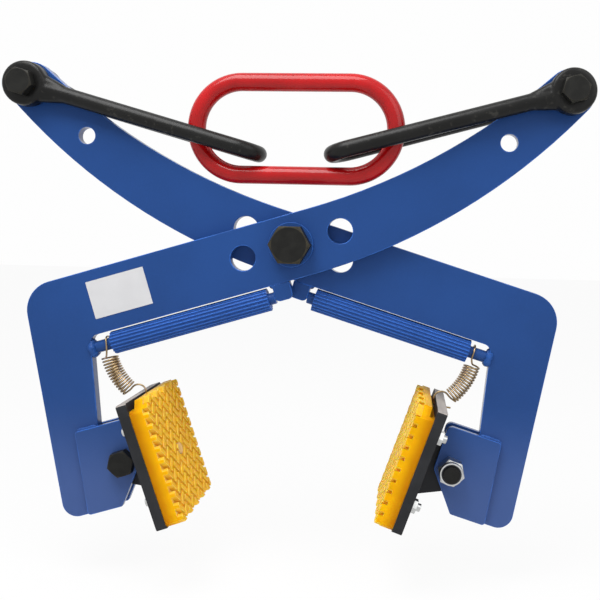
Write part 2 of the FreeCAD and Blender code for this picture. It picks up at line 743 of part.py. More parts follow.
def biarc(start, leave, end, arrive):
    """Two arcs that join two points with given tangents."""
    span = end - start
    open_share = 2 * (1 - leave.dot(arrive))
    along = 2 * span.dot(leave + arrive)
    if open_share < STRAIGHT_SHARE:
        reach = span.dot(span) / along
    else:
        root = math.sqrt(along * along + 4 * open_share * span.dot(span))
        reach = (root - along) / (2 * open_share)
    first = start + leave * reach
    second = end - arrive * reach
    joint = (first + second) / 2
    return [arc_edge(start, joint, first), arc_edge(joint, end, second)]


def hook_points(centre, radius, towards, aside, angles):
    """Points and tangents round a hook, from its first angle to its last."""
    places = []
    sense = 1 if angles[-1] > angles[0] else -1
    for angle in angles:
        turn = math.radians(angle)
        place = centre + towards * (radius * math.cos(turn)) + aside * (radius * math.sin(turn))
        way = aside * math.cos(turn) - towards * math.sin(turn)
        places.append((place, way * sense))
    return places


def spring_points(rod, plate):
    """Points and tangents along a tension spring from its rod hook to its plate hook."""
    along = (plate - rod).normalize()
    depth = Vector(0, 1, 0)
    aside = along.cross(depth)
    radius = size("spring_radius")
    pitch = size("spring_length") / size("spring_turns")
    places = hook_points(rod, size("rod_hook_radius"), along, depth, (-50, -120, -190, -260, -330))
    quarters = int(4 * size("spring_turns"))
    slope = math.atan2(pitch, 2 * math.pi * radius)
    for step in range(quarters + 1):
        turn = math.pi * (1 + step / 2)
        out = depth * math.cos(turn) - aside * math.sin(turn)
        way = depth * -math.sin(turn) - aside * math.cos(turn)
        place = rod + along * (size("spring_lead") + pitch * step / 4) + out * radius
        places.append((place, way * math.cos(slope) + along * math.sin(slope)))
    return places + hook_points(plate, size("plate_hook_radius"), along * -1, aside,
                                (30, 100, 170, 240, 310))


def pad_spring(label, rod, plate, turn):
    """Tension spring of one unbroken wire with a hook at each end."""
    places = spring_points(rod, plate)
    edges = []
    for (start, leave), (end, arrive) in zip(places, places[1:]):
        edges += biarc(start, leave, end, arrive)
    path = Part.Wire(edges)
    section = Part.Circle(places[0][0], places[0][1], size("spring_wire") / 2)
    shape = path.makePipeShell([Part.Wire(section.toShape())], True, False)
    spring = doc.addObject("Part::Feature", label)
    spring.Label = label
    spring.Shape = shape
    spring.Placement = turn
    nodes.append(spring)
    steps = path.discretize(Distance=size("spring_wire") / 2)
    least = path.Length
    clear = int(4 * math.pi)
    for i, here in enumerate(steps):
        for there in steps[i + clear:]:
            least = min(least, here.distanceToPoint(there))
    print("%s: least gap to itself %.2f mm" % (label, least - size("spring_wire")))


def fastener(label, place, turn, half, collar):
    """Bolt and nut of the common size; the turn puts the head in front or behind."""
    clamped = "2 * (%s)" % half
    end = " + Sizes.bolt_nut + Sizes.bolt_end" + (" + Sizes.bolt_collar" if collar else "")
    bolt(label + "_bolt", place * turn, half, "Sizes.bolt_flats", "Sizes.bolt_head",
         "Sizes.bolt_radius", clamped + end)
    nut(label + "_nut", place * turn, half, "Sizes.bolt_flats", "Sizes.bolt_nut",
        "Sizes.bolt_radius", "Sizes.bolt_collar" if collar else None)


def one_side(name, other, turn, pivot, front):
    """Everything on one arm; the horn reaches over to the other side."""
    level = Vector(0, 1, 0)
    arm_middle = Vector(0, (size("plate_thickness") + size("arm_gap")) / 2, 0)
    frame = turn * Placement(pivot + arm_middle, Rotation(level, size("bar_angle")))
    arm(name + "_arm", frame)
    cheek(name + "_front_cheek" if front else name + "_rear_cheek", frame, "")
    cheek(name + "_rear_cheek" if front else name + "_front_cheek", frame, "-")
    grip_lug(name + "_grip_lug", frame)
    grip_rod(name + "_grip_rod", frame)
    grip_sleeve(name + "_grip_sleeve", frame)

    flip = Placement(Vector(0, 0, 0), Rotation(Vector(1, 0, 0), 180))
    eye = frame * Placement(Vector(-size("eye_along"), 0, size("eye_rise")),
                            Rotation(level, size("shackle_angle") - size("bar_angle")))
    shackle(other + "_shackle", eye)
    across = "Sizes.plate_thickness / 2 + Sizes.shackle_side_gap + Sizes.shackle_eye_thickness"
    fastener(other + "_shackle", eye, Placement() if front else flip, across, False)

    foot = frame * Placement(Vector(measure(FOOT_BOLT_ALONG), 0, -measure(FOOT_BOLT_DROP)),
                             Rotation(level, size("pad_tilt") - size("bar_angle")))
    across = "Sizes.plate_thickness / 2 + Sizes.cheek_thickness"
    fastener(name + "_foot", foot, flip, across, True)
    pad_plate(name + "_pad_plate", foot)
    pad_bracket(name + "_pad_bracket", foot)
    pad_studs(name + "_pad_studs", foot)
    pad_nuts(name + "_pad_nuts", foot)
    moulded_pad(name + "_pad", foot, "-" if front else "")

    rod = frame.multVec(Vector(measure(ROD_HOOK), 0, -size("grip_drop")))
    plate_middle = -size("pad_offset") - size("pad_plate_thickness") / 2
    top = size("pad_height") / 2 - size("pad_centre_drop") + size("plate_hook_lift")
    plate = foot.multVec(Vector(plate_middle, 0, top))
    back = turn.inverse()
    pad_spring(name + "_pad_spring", back.multVec(rod), back.multVec(plate), turn)


def tongs():
    """Pivot fastener, lifting ring and both sides."""
    seat_drop = size("ring_rest") + size("ring_height") / 2 - 2 * size("ring_wire_radius")
    pivot = Vector(0, 0, -seat_drop)
    place = Placement(pivot, Rotation())
    plates = "Sizes.plate_thickness + Sizes.arm_gap / 2"
    half = plates + " + Sizes.pivot_washer_thickness"
    bolt("pivot_bolt", place, half, "Sizes.pivot_flats", "Sizes.pivot_head", "Sizes.pivot_radius",
         "2 * (%s) + Sizes.pivot_nut + Sizes.pivot_end" % half)
    nut("pivot_nut", place, half, "Sizes.pivot_flats", "Sizes.pivot_nut", "Sizes.pivot_radius")
    bore = "Sizes.pivot_radius + Sizes.running_clearance"
    washers = new_body("pivot_washers", place)
    washers.AllowCompound = True
    for sign in ("", "-"):
        middle = sign + "(%s + Sizes.pivot_washer_thickness / 2)" % plates
        disc(washers, middle, "Sizes.pivot_washer_radius", bore, "Sizes.pivot_washer_thickness")
    wear = new_body("pivot_wear_washer", place)
    disc(wear, None, "Sizes.wear_washer_radius", bore, "Sizes.arm_gap")

    arm_middle = (size("plate_thickness") + size("arm_gap")) / 2
    end = size("ring_width") / 2 - size("ring_wire_radius")
    skew = -math.degrees(math.asin(arm_middle / end))
    ring_drop = size("ring_wire_radius") * 2 - size("ring_height") / 2
    lifting_ring("lifting_ring", Placement(Vector(0, 0, ring_drop), Rotation(Vector(0, 0, 1), skew)))
    one_side("right", "left", Placement(), pivot, True)
    half_turn = Placement(Vector(0, 0, 0), Rotation(Vector(0, 0, 1), 180))
    one_side("left", "right", half_turn, pivot, False)


tongs()
doc.recompute()
for item in doc.Objects:
    if "Invalid" in item.State or "Error" in item.State:
        raise RuntimeError("%s failed: %s" % (item.Label, item.getStatusString()))
for node in nodes:
    if node.Shape.isNull() or not node.Shape.isValid() or not node.Shape.Solids:
        raise RuntimeError("%s has no valid solid" % node.Label)
    node.Shape.exportStep("parts/%s.step" % node.Label)
    print("%s: %d solid(s), %.1f cm3" % (node.Label, len(node.Shape.Solids), node.Shape.Volume / 1000))
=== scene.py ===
import json
import math

import bmesh
import bpy
from bpy.props import FloatProperty, FloatVectorProperty, IntProperty, PointerProperty
from mathutils import Matrix, Vector

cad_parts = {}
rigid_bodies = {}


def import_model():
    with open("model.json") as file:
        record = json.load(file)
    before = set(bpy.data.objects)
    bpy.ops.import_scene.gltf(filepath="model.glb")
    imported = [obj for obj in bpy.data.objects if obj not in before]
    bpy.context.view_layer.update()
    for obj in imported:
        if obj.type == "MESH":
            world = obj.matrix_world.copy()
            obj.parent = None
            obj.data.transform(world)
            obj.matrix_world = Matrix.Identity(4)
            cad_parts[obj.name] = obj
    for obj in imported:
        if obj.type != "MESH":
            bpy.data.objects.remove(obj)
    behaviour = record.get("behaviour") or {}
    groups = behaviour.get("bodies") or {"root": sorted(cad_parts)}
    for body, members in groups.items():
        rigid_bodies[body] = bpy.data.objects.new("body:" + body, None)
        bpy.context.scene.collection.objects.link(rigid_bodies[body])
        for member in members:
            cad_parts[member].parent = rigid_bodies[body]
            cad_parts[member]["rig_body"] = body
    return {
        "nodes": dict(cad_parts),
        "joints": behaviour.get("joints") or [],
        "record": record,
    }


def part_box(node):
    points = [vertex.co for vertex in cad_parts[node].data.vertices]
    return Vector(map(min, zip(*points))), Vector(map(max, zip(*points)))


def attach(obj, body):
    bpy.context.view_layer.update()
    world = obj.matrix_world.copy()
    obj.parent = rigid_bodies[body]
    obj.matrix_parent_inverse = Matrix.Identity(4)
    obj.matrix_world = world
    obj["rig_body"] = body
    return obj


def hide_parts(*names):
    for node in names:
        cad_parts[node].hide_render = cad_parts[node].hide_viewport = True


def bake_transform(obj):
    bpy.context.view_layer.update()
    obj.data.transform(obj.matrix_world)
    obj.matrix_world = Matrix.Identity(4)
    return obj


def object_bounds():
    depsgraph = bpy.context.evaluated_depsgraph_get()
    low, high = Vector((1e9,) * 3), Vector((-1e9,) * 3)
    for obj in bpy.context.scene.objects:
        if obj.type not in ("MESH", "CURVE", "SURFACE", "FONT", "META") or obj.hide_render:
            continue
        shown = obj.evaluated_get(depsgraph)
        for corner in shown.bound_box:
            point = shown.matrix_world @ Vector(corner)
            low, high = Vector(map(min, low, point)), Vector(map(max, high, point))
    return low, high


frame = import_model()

bl_info = {
    "name": "Lifting Tongs",
    "version": (1, 0, 0),
    "blender": (4, 5, 0),
    "location": "View3D > Sidebar > Tongs",
    "description": "Gives the lifting tongs their paint, welds, springs and pads, and a pale stage",
    "category": "Object",
}

CAD_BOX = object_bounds()
NODES = frame["nodes"]
JOINTS = {joint["name"]: joint for joint in frame["joints"]}
SIDES = ("left", "right")
HALF_TURN = Matrix.Rotation(math.pi, 4, "Z")
QUARTER_BACK = -math.pi / 2
ALONG = Vector((1, 0, 0))
DEPTH = Vector((0, 1, 0))
UP = Vector((0, 0, 1))
MM = 0.001

# Merging a mesh: metres between doubles, and degrees between faces that count as flat
CAD_DOUBLES = 2e-6
WIRE_DOUBLES = 1e-7
CAD_FLAT = 0.4

# Weld beads: sides of the section, then in radii the step, the radius at the ends, the ripples'
# depth and their radians to a radius; and the share of the plate that the lug's bead spans
WELD_SIDES = 12
WELD_STEP = 0.45
WELD_END = 0.5
RIPPLE_DEPTH = 0.1
RIPPLE_TURN = 4.2
LUG_SPAN = 0.95

# Beads round a rod: steps round it, and lumps as height, number round the rod and start angle
COLLAR_STEPS = 40
COLLAR_LUMPS = ((0.13, 5, 0.8), (0.06, 13, 0))

# Locking rings in the foot nuts
INSERT_SIDES = 12
INSERT_STEPS = 48

# Springs: points to a turn, points past the last whole turn, and the hooks' angles in degrees
TURN_POINTS = 20
LAST_POINTS = 5
ROD_HOOK = range(-50, -271, -20)
PLATE_HOOK = range(30, -231, -20)
# The lower hook's tail as angle and distance in hook radii
PLATE_TAIL = ((-248, 1.25), (-260, 1.6))

# Pad blocks: roundings that fit across a face that is rounded; a face so many deep is in a groove
BLOCK_ROOM = 4

# Share of a face's normal along a direction by which it counts as wall, turned cone, sawn or level
WALL_LEAN = 0.5
TURNED_LEAN = (0.25, 0.97)
SAWN_LEAN = 0.6
LEVEL_LEAN = 0.9

# Notes on faces, from 0 to 1: painted highlight on the welds, painted light on the walls of pad blocks,
# turned cones of small bolts
WELD_HIGHLIGHT = 0.4
BLOCK_WALL_LIGHT = 0.4
SMALL_TURNED = 0.3


def linear(red, green, blue):
    """A colour given as it looks on a screen, 0 to 255, as Blender's own values."""
    def channel(level):
        level = level / 255
        return level / 12.92 if level <= 0.04045 else ((level + 0.055) / 1.055) ** 2.4
    return channel(red), channel(green), channel(blue)


def colour(name, description, shade):
    """A colour setting with its screen value as default."""
    return FloatVectorProperty(name=name, description=description, subtype="COLOR", size=3,
                               min=0, max=1, default=linear(*shade))


def length(name, description, millimetres):
    """A length setting in metres, given here in millimetres."""
    return FloatProperty(name=name, description=description, default=millimetres * MM,
                         min=0, precision=5, subtype="DISTANCE", unit="LENGTH")


def place(name, description, metres):
    """A place setting in metres."""
    return FloatVectorProperty(name=name, description=description, size=3, default=metres,
                               subtype="TRANSLATION", unit="LENGTH")


def angle(name, description, degrees):
    """An angle setting, given here in degrees."""
    return FloatProperty(name=name, description=description, default=math.radians(degrees),
                         precision=4, subtype="ANGLE", unit="ROTATION")


def power(name, description, watts):
    """A light's power setting."""
    return FloatProperty(name=name, description=description, default=watts, min=0, unit="POWER")


def number(name, description, default, **limits):
    """A plain number setting."""
    return FloatProperty(name=name, description=description, default=default, **limits)


class TongsColours(bpy.types.PropertyGroup):
    """Colours of the finishes; a finish has the name of its main colour."""
    arm_paint: colour("Arm paint", "Satin paint on the arms, cheeks and lugs", (32, 71, 134))
    # Painted reflection of the white floor, paler and greyer on the lower arms and feet
    foot_dust: colour("Foot dust", "Paint at the feet, dulled by stone dust", (86, 107, 160))
    grip_skin: colour("Grip", "Ribbed hand grips", (48, 102, 190))
    ring_paint: colour("Ring paint", "Gloss paint on the lifting ring", (180, 9, 13))
    forging: colour("Forging", "Lacquered shackles", (19, 19, 18))
    scale_grey: colour("Forging scale", "Rubbed hammer scale on the shackles", (92, 90, 84))
    bolt_black: colour("Black bolts", "Blackened bolts and heads", (24, 24, 22))
    bolt_turned: colour("Turned steel", "Turned cones of the black bolts", (68, 63, 48))
    # Rubbed corners of the bolts, lightened further as painted highlight
    bolt_edge: colour("Bolt edges", "Rubbed corners of the black bolts", (108, 104, 94))
    plate_dark: colour("Pad plate", "Painted backing plates", (38, 39, 42))
    plate_edge: colour("Plate edges", "Rubbed edges of the backing plates", (118, 114, 110))
    plate_cut: colour("Sawn edge", "Bare upper edge of the backing plates", (186, 178, 172))
    pad_yellow: colour("Pad", "Moulded pads", (250, 188, 4))
    # Painted highlight on the pads' block edges and painted light in their grooves
    pad_pale: colour("Pad edges", "Rubbed edges and grooves of the pads", (254, 214, 104))
    # Painted shade: the pads turn darker amber towards the plate
    pad_amber: colour("Pad depth", "Moulded pads close to the plate", (196, 118, 0))
    plug_pale: colour("Plug", "Plugs in the middle of the pads", (238, 190, 110))
    # Painted shade: the locking rings are dark as the shade in the nuts' recesses
    nut_insert: colour("Nut insert", "Locking rings in the foot nuts", (36, 38, 44))
    spring_gold: colour("Spring", "Yellow passivated springs", (172, 148, 112))
    spring_band: colour("Spring bands", "Faint bands on the springs", (190, 176, 196))
    zinc: colour("Zinc", "Zinc-plated nuts", (205, 206, 205))
    label_white: colour("Label", "Bare label on the arm", (214, 214, 216))
    floor: colour("Floor", "Floor and background", (255, 255, 255))


class TongsSizes(bpy.types.PropertyGroup):
    """Sizes of what is added to the frame; places on an arm are measured with its bar level."""
    bar_angle: angle("Bar angle", "How far the right arm's bar leans from level", 17)
    pad_tilt: angle("Pad tilt", "How far the right pad leans from upright", 19.2)
    plate_round: length("Plate edge", "Rounding of the arm plates' edges", 0.8)
    block_round: length("Block edge", "Rounding of the pad blocks' edges", 0.6)
    bolt_round: length("Bolt edge", "Rounding of bolts and nuts", 0.35)
    plate_half: length("Half plate", "Half the thickness of an arm plate", 6)
    bar_lower: length("Bar's lower edge", "From the pivot down to the bar's lower edge", 34)
    lug_end: length("Lug end", "From the pivot along the bar to the grip lug's far side", 30)
    grip_drop: length("Grip drop", "From the pivot down to the grip rod", 46.5)
    grip_radius: length("Grip radius", "Outer radius of the ribbed sleeves", 11.5)
    rib_sink: length("Rib sink", "How far below the ribs a face counts as groove", 0.4)
    rod_radius: length("Rod radius", "Radius of the grip rods", 6)
    rod_end: length("Rod end", "From the pivot along the bar to the rod's weld on the leg", 221.4)
    cheek_top: length("Cheek top", "From the pivot down to the cheeks' upper edge", 122)
    cheek_foot: length("Cheek foot", "From the pivot down to the cheeks' lower edge", 204)
    cheek_inner: length("Cheek's inner top", "Along the bar to where the cheek's top meets the leg", 239)
    cheek_outer: length("Cheek's outer top", "Along the bar to the cheek's outer upper corner", 259.6)
    cheek_heel: length("Cheek's outer foot", "Along the bar to the cheek's outer lower corner", 270)
    # Where the painted reflection of the floor on the arms starts and where it is full
    dust_top: length("Dust top", "From the hook's seat down to where the foot dust starts", 300)
    dust_full: length("Full dust", "From the hook's seat down to where the foot dust is full", 410)
    weld_bead: length("Weld bead", "Radius of the heavy weld beads", 3.6)
    weld_seam: length("Weld seam", "Radius of the fine weld seams", 1.7)
    forging_grid: length("Forging grid", "Mesh size of the forged shackles", 1.2)
    spring_wire: length("Spring wire", "Diameter of the spring wire", 1.8)
    spring_radius: length("Spring radius", "Middle radius of the coil", 7.7)
    spring_bow: length("Spring bow", "How far the coil bows out in the middle", 2.9)
    spring_turns: IntProperty(name="Spring turns", description="Turns of the coil", default=13, min=3)
    coil_top_along: length("Coil top", "Along the bar to the coil's upper end", 208.6)
    coil_top_drop: length("Coil top drop", "From the pivot down to the coil's upper end", 59)
    coil_end_back: length("Coil end back", "From the foot bolt back to the coil's lower end", 24.5)
    coil_end_rise: length("Coil end rise", "From the foot bolt up to the coil's lower end", 67.1)
    rod_hook_along: length("Rod hook", "Along the bar to the spring's upper hook", 205.2)
    rod_hook_radius: length("Rod hook radius", "Radius of the spring's upper hook", 7.9)
    plate_hook_back: length("Plate hook back", "From the foot bolt back to the lower hook", 32.5)
    plate_hook_rise: length("Plate hook rise", "From the foot bolt up to the lower hook", 60.8)
    plate_hook_radius: length("Plate hook radius", "Radius of the spring's lower hook", 8)
    pad_front: length("Pad front", "From the foot bolt to the face of the pad's blocks", 56)
    groove_deep: length("Groove depth", "From the blocks' faces to just under the grooves", 6)
    # Where the painted shade towards the plate starts and where it is full
    amber_start: length("Amber start", "From the blocks' faces to where the pad turns amber", 4.5)
    amber_full: length("Full amber", "From the blocks' faces to where the pad is amber", 18.5)
    plug_radius: length("Plug radius", "Radius of the plug in the middle of a pad", 6.3)
    plug_taper: number("Plug taper", "Radius at the plug's face as a share of its radius", 0.97, min=0)
    plug_round: length("Plug edge", "Rounding of the plug's rim", 0.9)
    plug_drop: length("Plug drop", "From the foot bolt down to the plug", 5.6)
    plug_sink: length("Plug sink", "How far the plug lies below the blocks", 0.4)
    plug_deep: length("Plug depth", "How deep the plug's recess is", 7)
    insert_inner: length("Insert's inner radius", "Inner radius of the foot nuts' locking rings", 8.1)
    insert_outer: length("Insert's outer radius", "Outer radius of the foot nuts' locking rings", 9.9)
    insert_proud: length("Insert's height", "How far the locking rings stand out of the nuts", 0.12)
    label_along: length("Label place", "Along the bar to the label's middle", 179)
    label_long: length("Label length", "Longer side of the label", 60)
    label_high: length("Label height", "Shorter side of the label", 38)
    label_thick: length("Label thickness", "Thickness of the label", 0.3)
    label_gap: length("Label gap", "Gap between the label and the arm", 0.05)


class TongsStage(bpy.types.PropertyGroup):
    """Light and camera."""
    key_power: power("Key light", "Power of the light above the tongs", 11)
    key_place: place("Key place", "Where the light above stands", (-0.25, -0.45, 0.75))
    key_size: length("Key size", "Side of the light above", 700)
    fill_power: power("Fill light", "Power of the light to the right of the camera", 6)
    fill_place: place("Fill place", "Where the light to the right stands", (1.0, -0.8, 0.7))
    fill_size: length("Fill size", "Side of the light to the right", 1100)
    light_aim: place("Light aim", "What both lights look at", (0, 0, -0.2))
    room_level: number("Room light", "Level of the even light all round", 0.4, min=0)
    white_level: number("White", "Level of the background that the camera sees", 0.99, min=0)
    floor_white: number("Floor white", "Share of plain white in the floor's look", 0.93, min=0, max=1)
    floor_gap: length("Floor gap", "From the lowest point down to the floor", 62)
    backdrop_reach: length("Backdrop", "From the tongs back to the white backdrop", 5000)
    sheet_half: length("Sheet", "Half the side of the floor and of the backdrop", 6000)
    lens: number("Lens", "Focal length in millimetres", 48, min=10)
    shift_x: number("Shift across", "Sideways shift of the lens", -0.127)
    shift_y: number("Shift up", "Upward shift of the lens", -0.065)
    near_clip: length("Near clip", "Nearest point that the camera sees", 10)
    distance: length("Camera distance", "From the camera to the pivot's plane", 800)
    aside: length("Camera aside", "How far the camera stands to the right of the pivot", 83.1)
    drop: length("Camera drop", "How far the camera stands below the pivot", 16.6)
    yaw: angle("Camera yaw", "How far the view turns about the upright", 2.12)
    pitch: angle("Camera pitch", "How far the view nods", -2.62)
    roll: angle("Camera roll", "How far the view tips about its own line", 1.41)


def colours():
    """The settings for colours."""
    return bpy.context.scene.tongs_colours


def sizes():
    """The settings for sizes."""
    return bpy.context.scene.tongs_sizes


def arm_frame(side):
    """From an arm's own drawing, with its bar level and the pivot at the origin, to its place."""
    stand = Matrix.Translation(JOINTS["jaw"]["pos_m"]) @ Matrix.Rotation(sizes().bar_angle, 4, "Y")
    return HALF_TURN @ stand if side == "left" else stand


def foot_frame(side):
    """From a pad's own drawing, upright and with its foot bolt at the origin, to its place."""
    stand = Matrix.Translation(JOINTS["right_pad_swivel"]["pos_m"])
    stand = stand @ Matrix.Rotation(sizes().pad_tilt, 4, "Y")
    return HALF_TURN @ stand if side == "left" else stand


# Materials

class Wire:
    """An output socket that can be used in sums; each sum adds its Math node."""

    def __init__(self, tree, socket=None):
        self.tree = tree
        self.socket = socket

    def node(self, kind, settings=None, inputs=None, output=0):
        """Add a node with its settings and its values or links, and return one of its outputs."""
        made = self.tree.nodes.new(kind)
        for name, setting in (settings or {}).items():
            setattr(made, name, setting)
        for name, given in (inputs or {}).items():
            self.give(made.inputs[name], given)
        return Wire(self.tree, made.outputs[output] if made.outputs else None)

    def give(self, socket, given):
        """Link a wire to an input socket, or set its value."""
        if isinstance(given, Wire):
            self.tree.links.new(given.socket, socket)
        else:
            socket.default_value = given

    def sum(self, operation, first, second):
        """A Math node on two values."""
        return self.node("ShaderNodeMath", {"operation": operation}, {0: first, 1: second})

    def __add__(self, other):
        return self.sum("ADD", self, other)

    def __radd__(self, other):
        return self.sum("ADD", other, self)

    def __sub__(self, other):
        return self.sum("SUBTRACT", self, other)

    def __rsub__(self, other):
        return self.sum("SUBTRACT", other, self)

    def __mul__(self, other):
        return self.sum("MULTIPLY", self, other)

    def __rmul__(self, other):
        return self.sum("MULTIPLY", other, self)

    def clamp(self, low, high):
        """The value stretched so that low gives 0 and high gives 1, with soft ends."""
        return self.node("ShaderNodeMapRange", {"interpolation_type": "SMOOTHSTEP"},
                         {"Value": self, "From Min": low, "From Max": high})

    def places(self):
        """Object coordinates, in metres."""
        return self.node("ShaderNodeTexCoord", None, None, "Object")

    def noise(self, scale, detail=3.0, roughness=0.5, stretch=None):
        """Soft noise over the surface; stretch scales the three directions apart."""
        spots = self.places()
        if stretch:
            spots = self.node("ShaderNodeMapping", None, {"Vector": spots, "Scale": stretch})
        return self.node("ShaderNodeTexNoise", None,
                         {"Vector": spots, "Scale": scale, "Detail": detail, "Roughness": roughness})

    def faces(self, name):
        """A number stored on the faces of the mesh."""
        return self.node("ShaderNodeAttribute", {"attribute_name": name}, None, "Fac")

    def height(self):
        """Height above the hook's seat on the ring, in metres; below it the height is negative."""
        return self.node("ShaderNodeSeparateXYZ", None, {0: self.places()}, "Z")

    def behind_face(self):
        """Distance behind the pads' faces, in metres; both pads lean alike, so x counts as positive."""
        into = foot_frame("right").to_3x3() @ ALONG
        start = into.dot(foot_frame("right") @ (ALONG * -sizes().pad_front))
        even = self.node("ShaderNodeVectorMath", {"operation": "ABSOLUTE"}, {0: self.places()})
        across = self.node("ShaderNodeSeparateXYZ", None, {0: even}, "X")
        return across * into.x + self.height() * into.z - start

    def sees_white(self):
        """1 for rays from the camera and for those that gloss or glass sends on, otherwise 0."""
        seen = self.node("ShaderNodeLightPath", None, None, "Is Camera Ray")
        for way in ("Is Glossy Ray", "Is Transmission Ray"):
            seen = self.sum("MAXIMUM", seen, self.node("ShaderNodeLightPath", None, None, way))
        return seen

    def blend(self, factor, first, second):
        """Mix two colours."""
        first = first if isinstance(first, Wire) else (*first, 1)
        second = second if isinstance(second, Wire) else (*second, 1)
        return self.node("ShaderNodeMix", {"data_type": "RGBA", "clamp_factor": True},
                         {0: factor, 6: first, 7: second}, 2)

    def cloudy(self, cloud, base, darker, lighter):
        """A colour that wanders between a darker and a lighter shade of itself."""
        return self.blend(cloud.clamp(0.3, 0.7), shade(base, darker), shade(base, lighter))

    def bump(self, height, strength, depth, normal=None):
        """Bump from a height; depth is in metres."""
        inputs = {"Height": height, "Strength": strength, "Distance": depth}
        if normal:
            inputs["Normal"] = normal
        return self.node("ShaderNodeBump", None, inputs)

    def feed(self, **sockets):
        """Set the surface shader's sockets, named with _ for a space, to wires or plain values."""
        shader = self.tree.nodes["Principled BSDF"]
        for name, given in sockets.items():
            self.give(shader.inputs[name.replace("_", " ")], given)


def shade(base, factor):
    """A colour made lighter or darker."""
    return tuple(min(1.0, channel * factor) for channel in base)


def arm_paint(w, base):
    """Satin powder coat: faint mottle, orange peel, thin pale edges that are partly wear and partly
    painted highlight, and a painted reflection of the white floor that makes the feet paler.
    """
    mottle = w.noise(9, 4)
    grain = w.noise(420, 2)
    edge = w.faces("edge") * w.noise(60, 4).clamp(0.28, 0.6)
    # Painted reflection of the white floor: the paint turns paler and greyer towards the feet
    sheen = w.height().clamp(-sizes().dust_top, -sizes().dust_full)
    body = w.cloudy(mottle, base, 0.93, 1.07)
    body = w.blend(grain.clamp(0.45, 0.75) * 0.1, body, shade(base, 1.4))
    body = w.blend(sheen * (0.4 + mottle * 0.2), body, colours().foot_dust)
    # Pale edges: partly worn paint, partly painted highlight on the rounded edges
    body = w.blend(edge * 0.55, body, shade(base, 3.2))
    w.feed(Base_Color=body, Roughness=0.38 + mottle * 0.1 + grain * 0.06, Specular_IOR_Level=0.2,
           Coat_Weight=w.faces("wall") * 0.7, Coat_Roughness=0.16,
           Normal=w.bump(w.noise(700, 2), 0.12, 0.0004, w.bump(mottle, 0.05, 0.002)))


def grip_skin(w, base):
    """Soft ribbed vinyl, with painted shade darkening the grooves."""
    cloud = w.noise(30, 3)
    body = w.cloudy(cloud, base, 0.92, 1.1)
    # Painted shade: the grooves are darkened
    body = w.blend(w.faces("groove") * 0.7, body, shade(base, 0.45))
    w.feed(Base_Color=body, Roughness=0.42 + cloud * 0.16, Specular_IOR_Level=0.25,
           Normal=w.bump(w.noise(900, 2), 0.1, 0.0003))


def ring_paint(w, base):
    """Gloss paint over a forged bar."""
    cloud = w.noise(26, 4)
    chips = w.noise(170, 5, 0.65).clamp(0.66, 0.74)
    body = w.cloudy(cloud, base, 0.84, 1.1)
    body = w.blend(chips * 0.35, body, shade(base, 1.7))
    w.feed(Base_Color=body, Roughness=0.3 + cloud * 0.14, Specular_IOR_Level=0.12,
           Coat_Weight=0.42, Coat_Roughness=0.06,
           Normal=w.bump(w.noise(240, 3), 0.16, 0.0006, w.bump(cloud, 0.2, 0.0016)))


def forging(w, base):
    """Black lacquer over hammer scale."""
    scale = w.noise(150, 5, 0.6)
    grain = w.noise(620, 3, 0.6)
    body = w.cloudy(w.noise(22, 3), base, 0.72, 1.25)
    body = w.blend(scale.clamp(0.58, 0.72) * 0.3, body, colours().scale_grey)
    w.feed(Base_Color=body, Roughness=0.24 + scale * 0.2, Specular_IOR_Level=0.22,
           Normal=w.bump(grain, 0.2, 0.0004, w.bump(scale, 0.2, 0.0009)))


def bolt_black(w, base):
    """Oil-blackened steel with a turned olive ring, and rubbed corners that are lightened further as
    painted highlight.
    """
    cloud = w.noise(120, 4)
    edge = w.faces("edge") * w.noise(260, 3).clamp(0.3, 0.62)
    turned = w.faces("turned") * w.noise(200, 3).clamp(0.2, 0.6)
    body = w.blend(cloud.clamp(0.35, 0.7), shade(base, 0.75), shade(base, 1.3))
    body = w.blend(turned * 0.6, body, colours().bolt_turned)
    # Pale corners: partly worn bare steel, partly painted highlight
    body = w.blend(edge * 0.5, body, colours().bolt_edge)
    w.feed(Base_Color=body, Roughness=0.36 + cloud * 0.2, Metallic=edge * 0.5,
           Specular_IOR_Level=0.2, Normal=w.bump(w.noise(650, 3), 0.16, 0.0004))


def plate_dark(w, base):
    """Dark paint on sawn plate; the upper edge is bare and rough."""
    bare = colours().plate_cut
    cloud = w.noise(40, 4)
    saw = w.noise(160, 4, 0.6, (1, 0.15, 1))
    cut = w.faces("cut") * w.noise(90, 3).clamp(0.05, 0.35)
    edge = w.faces("edge") * w.noise(150, 3).clamp(0.4, 0.65)
    body = w.cloudy(cloud, base, 0.75, 1.25)
    body = w.blend(edge * 0.5, body, colours().plate_edge)
    body = w.blend(cut, body, w.blend(saw, shade(bare, 0.6), shade(bare, 1.15)))
    w.feed(Base_Color=body, Roughness=0.5 + cloud * 0.2, Specular_IOR_Level=0.25,
           Normal=w.bump(saw, 0.2, 0.0005))


def pad_yellow(w, base):
    """Cast polyurethane: waxy, with painted shade turning it amber towards the plate, painted highlight
    along the block edges and painted light in the grooves.
    """
    size = sizes()
    speckle = w.noise(300, 4)
    edge = w.faces("edge") * speckle.clamp(0.22, 0.55)
    body = w.cloudy(w.noise(55, 4), base, 0.9, 1.06)
    # Painted shade: the pad turns amber towards the plate
    amber = w.behind_face().clamp(size.amber_start, size.amber_full)
    body = w.blend(amber * 0.85, body, colours().pad_amber)
    # Painted light: grooves and block walls are paled where they would lie in shade
    body = w.blend(w.faces("depth") * 0.9, body, colours().pad_pale)
    # Painted highlight along the rounded block edges
    body = w.blend(edge * 0.65, body, colours().pad_pale)
    w.feed(Base_Color=body, Roughness=0.34 + speckle * 0.2, Specular_IOR_Level=0.07,
           Subsurface_Weight=0.6, Subsurface_Radius=(1.0, 0.5, 0.06), Subsurface_Scale=0.004,
           Normal=w.bump(speckle, 0.12, 0.0005))


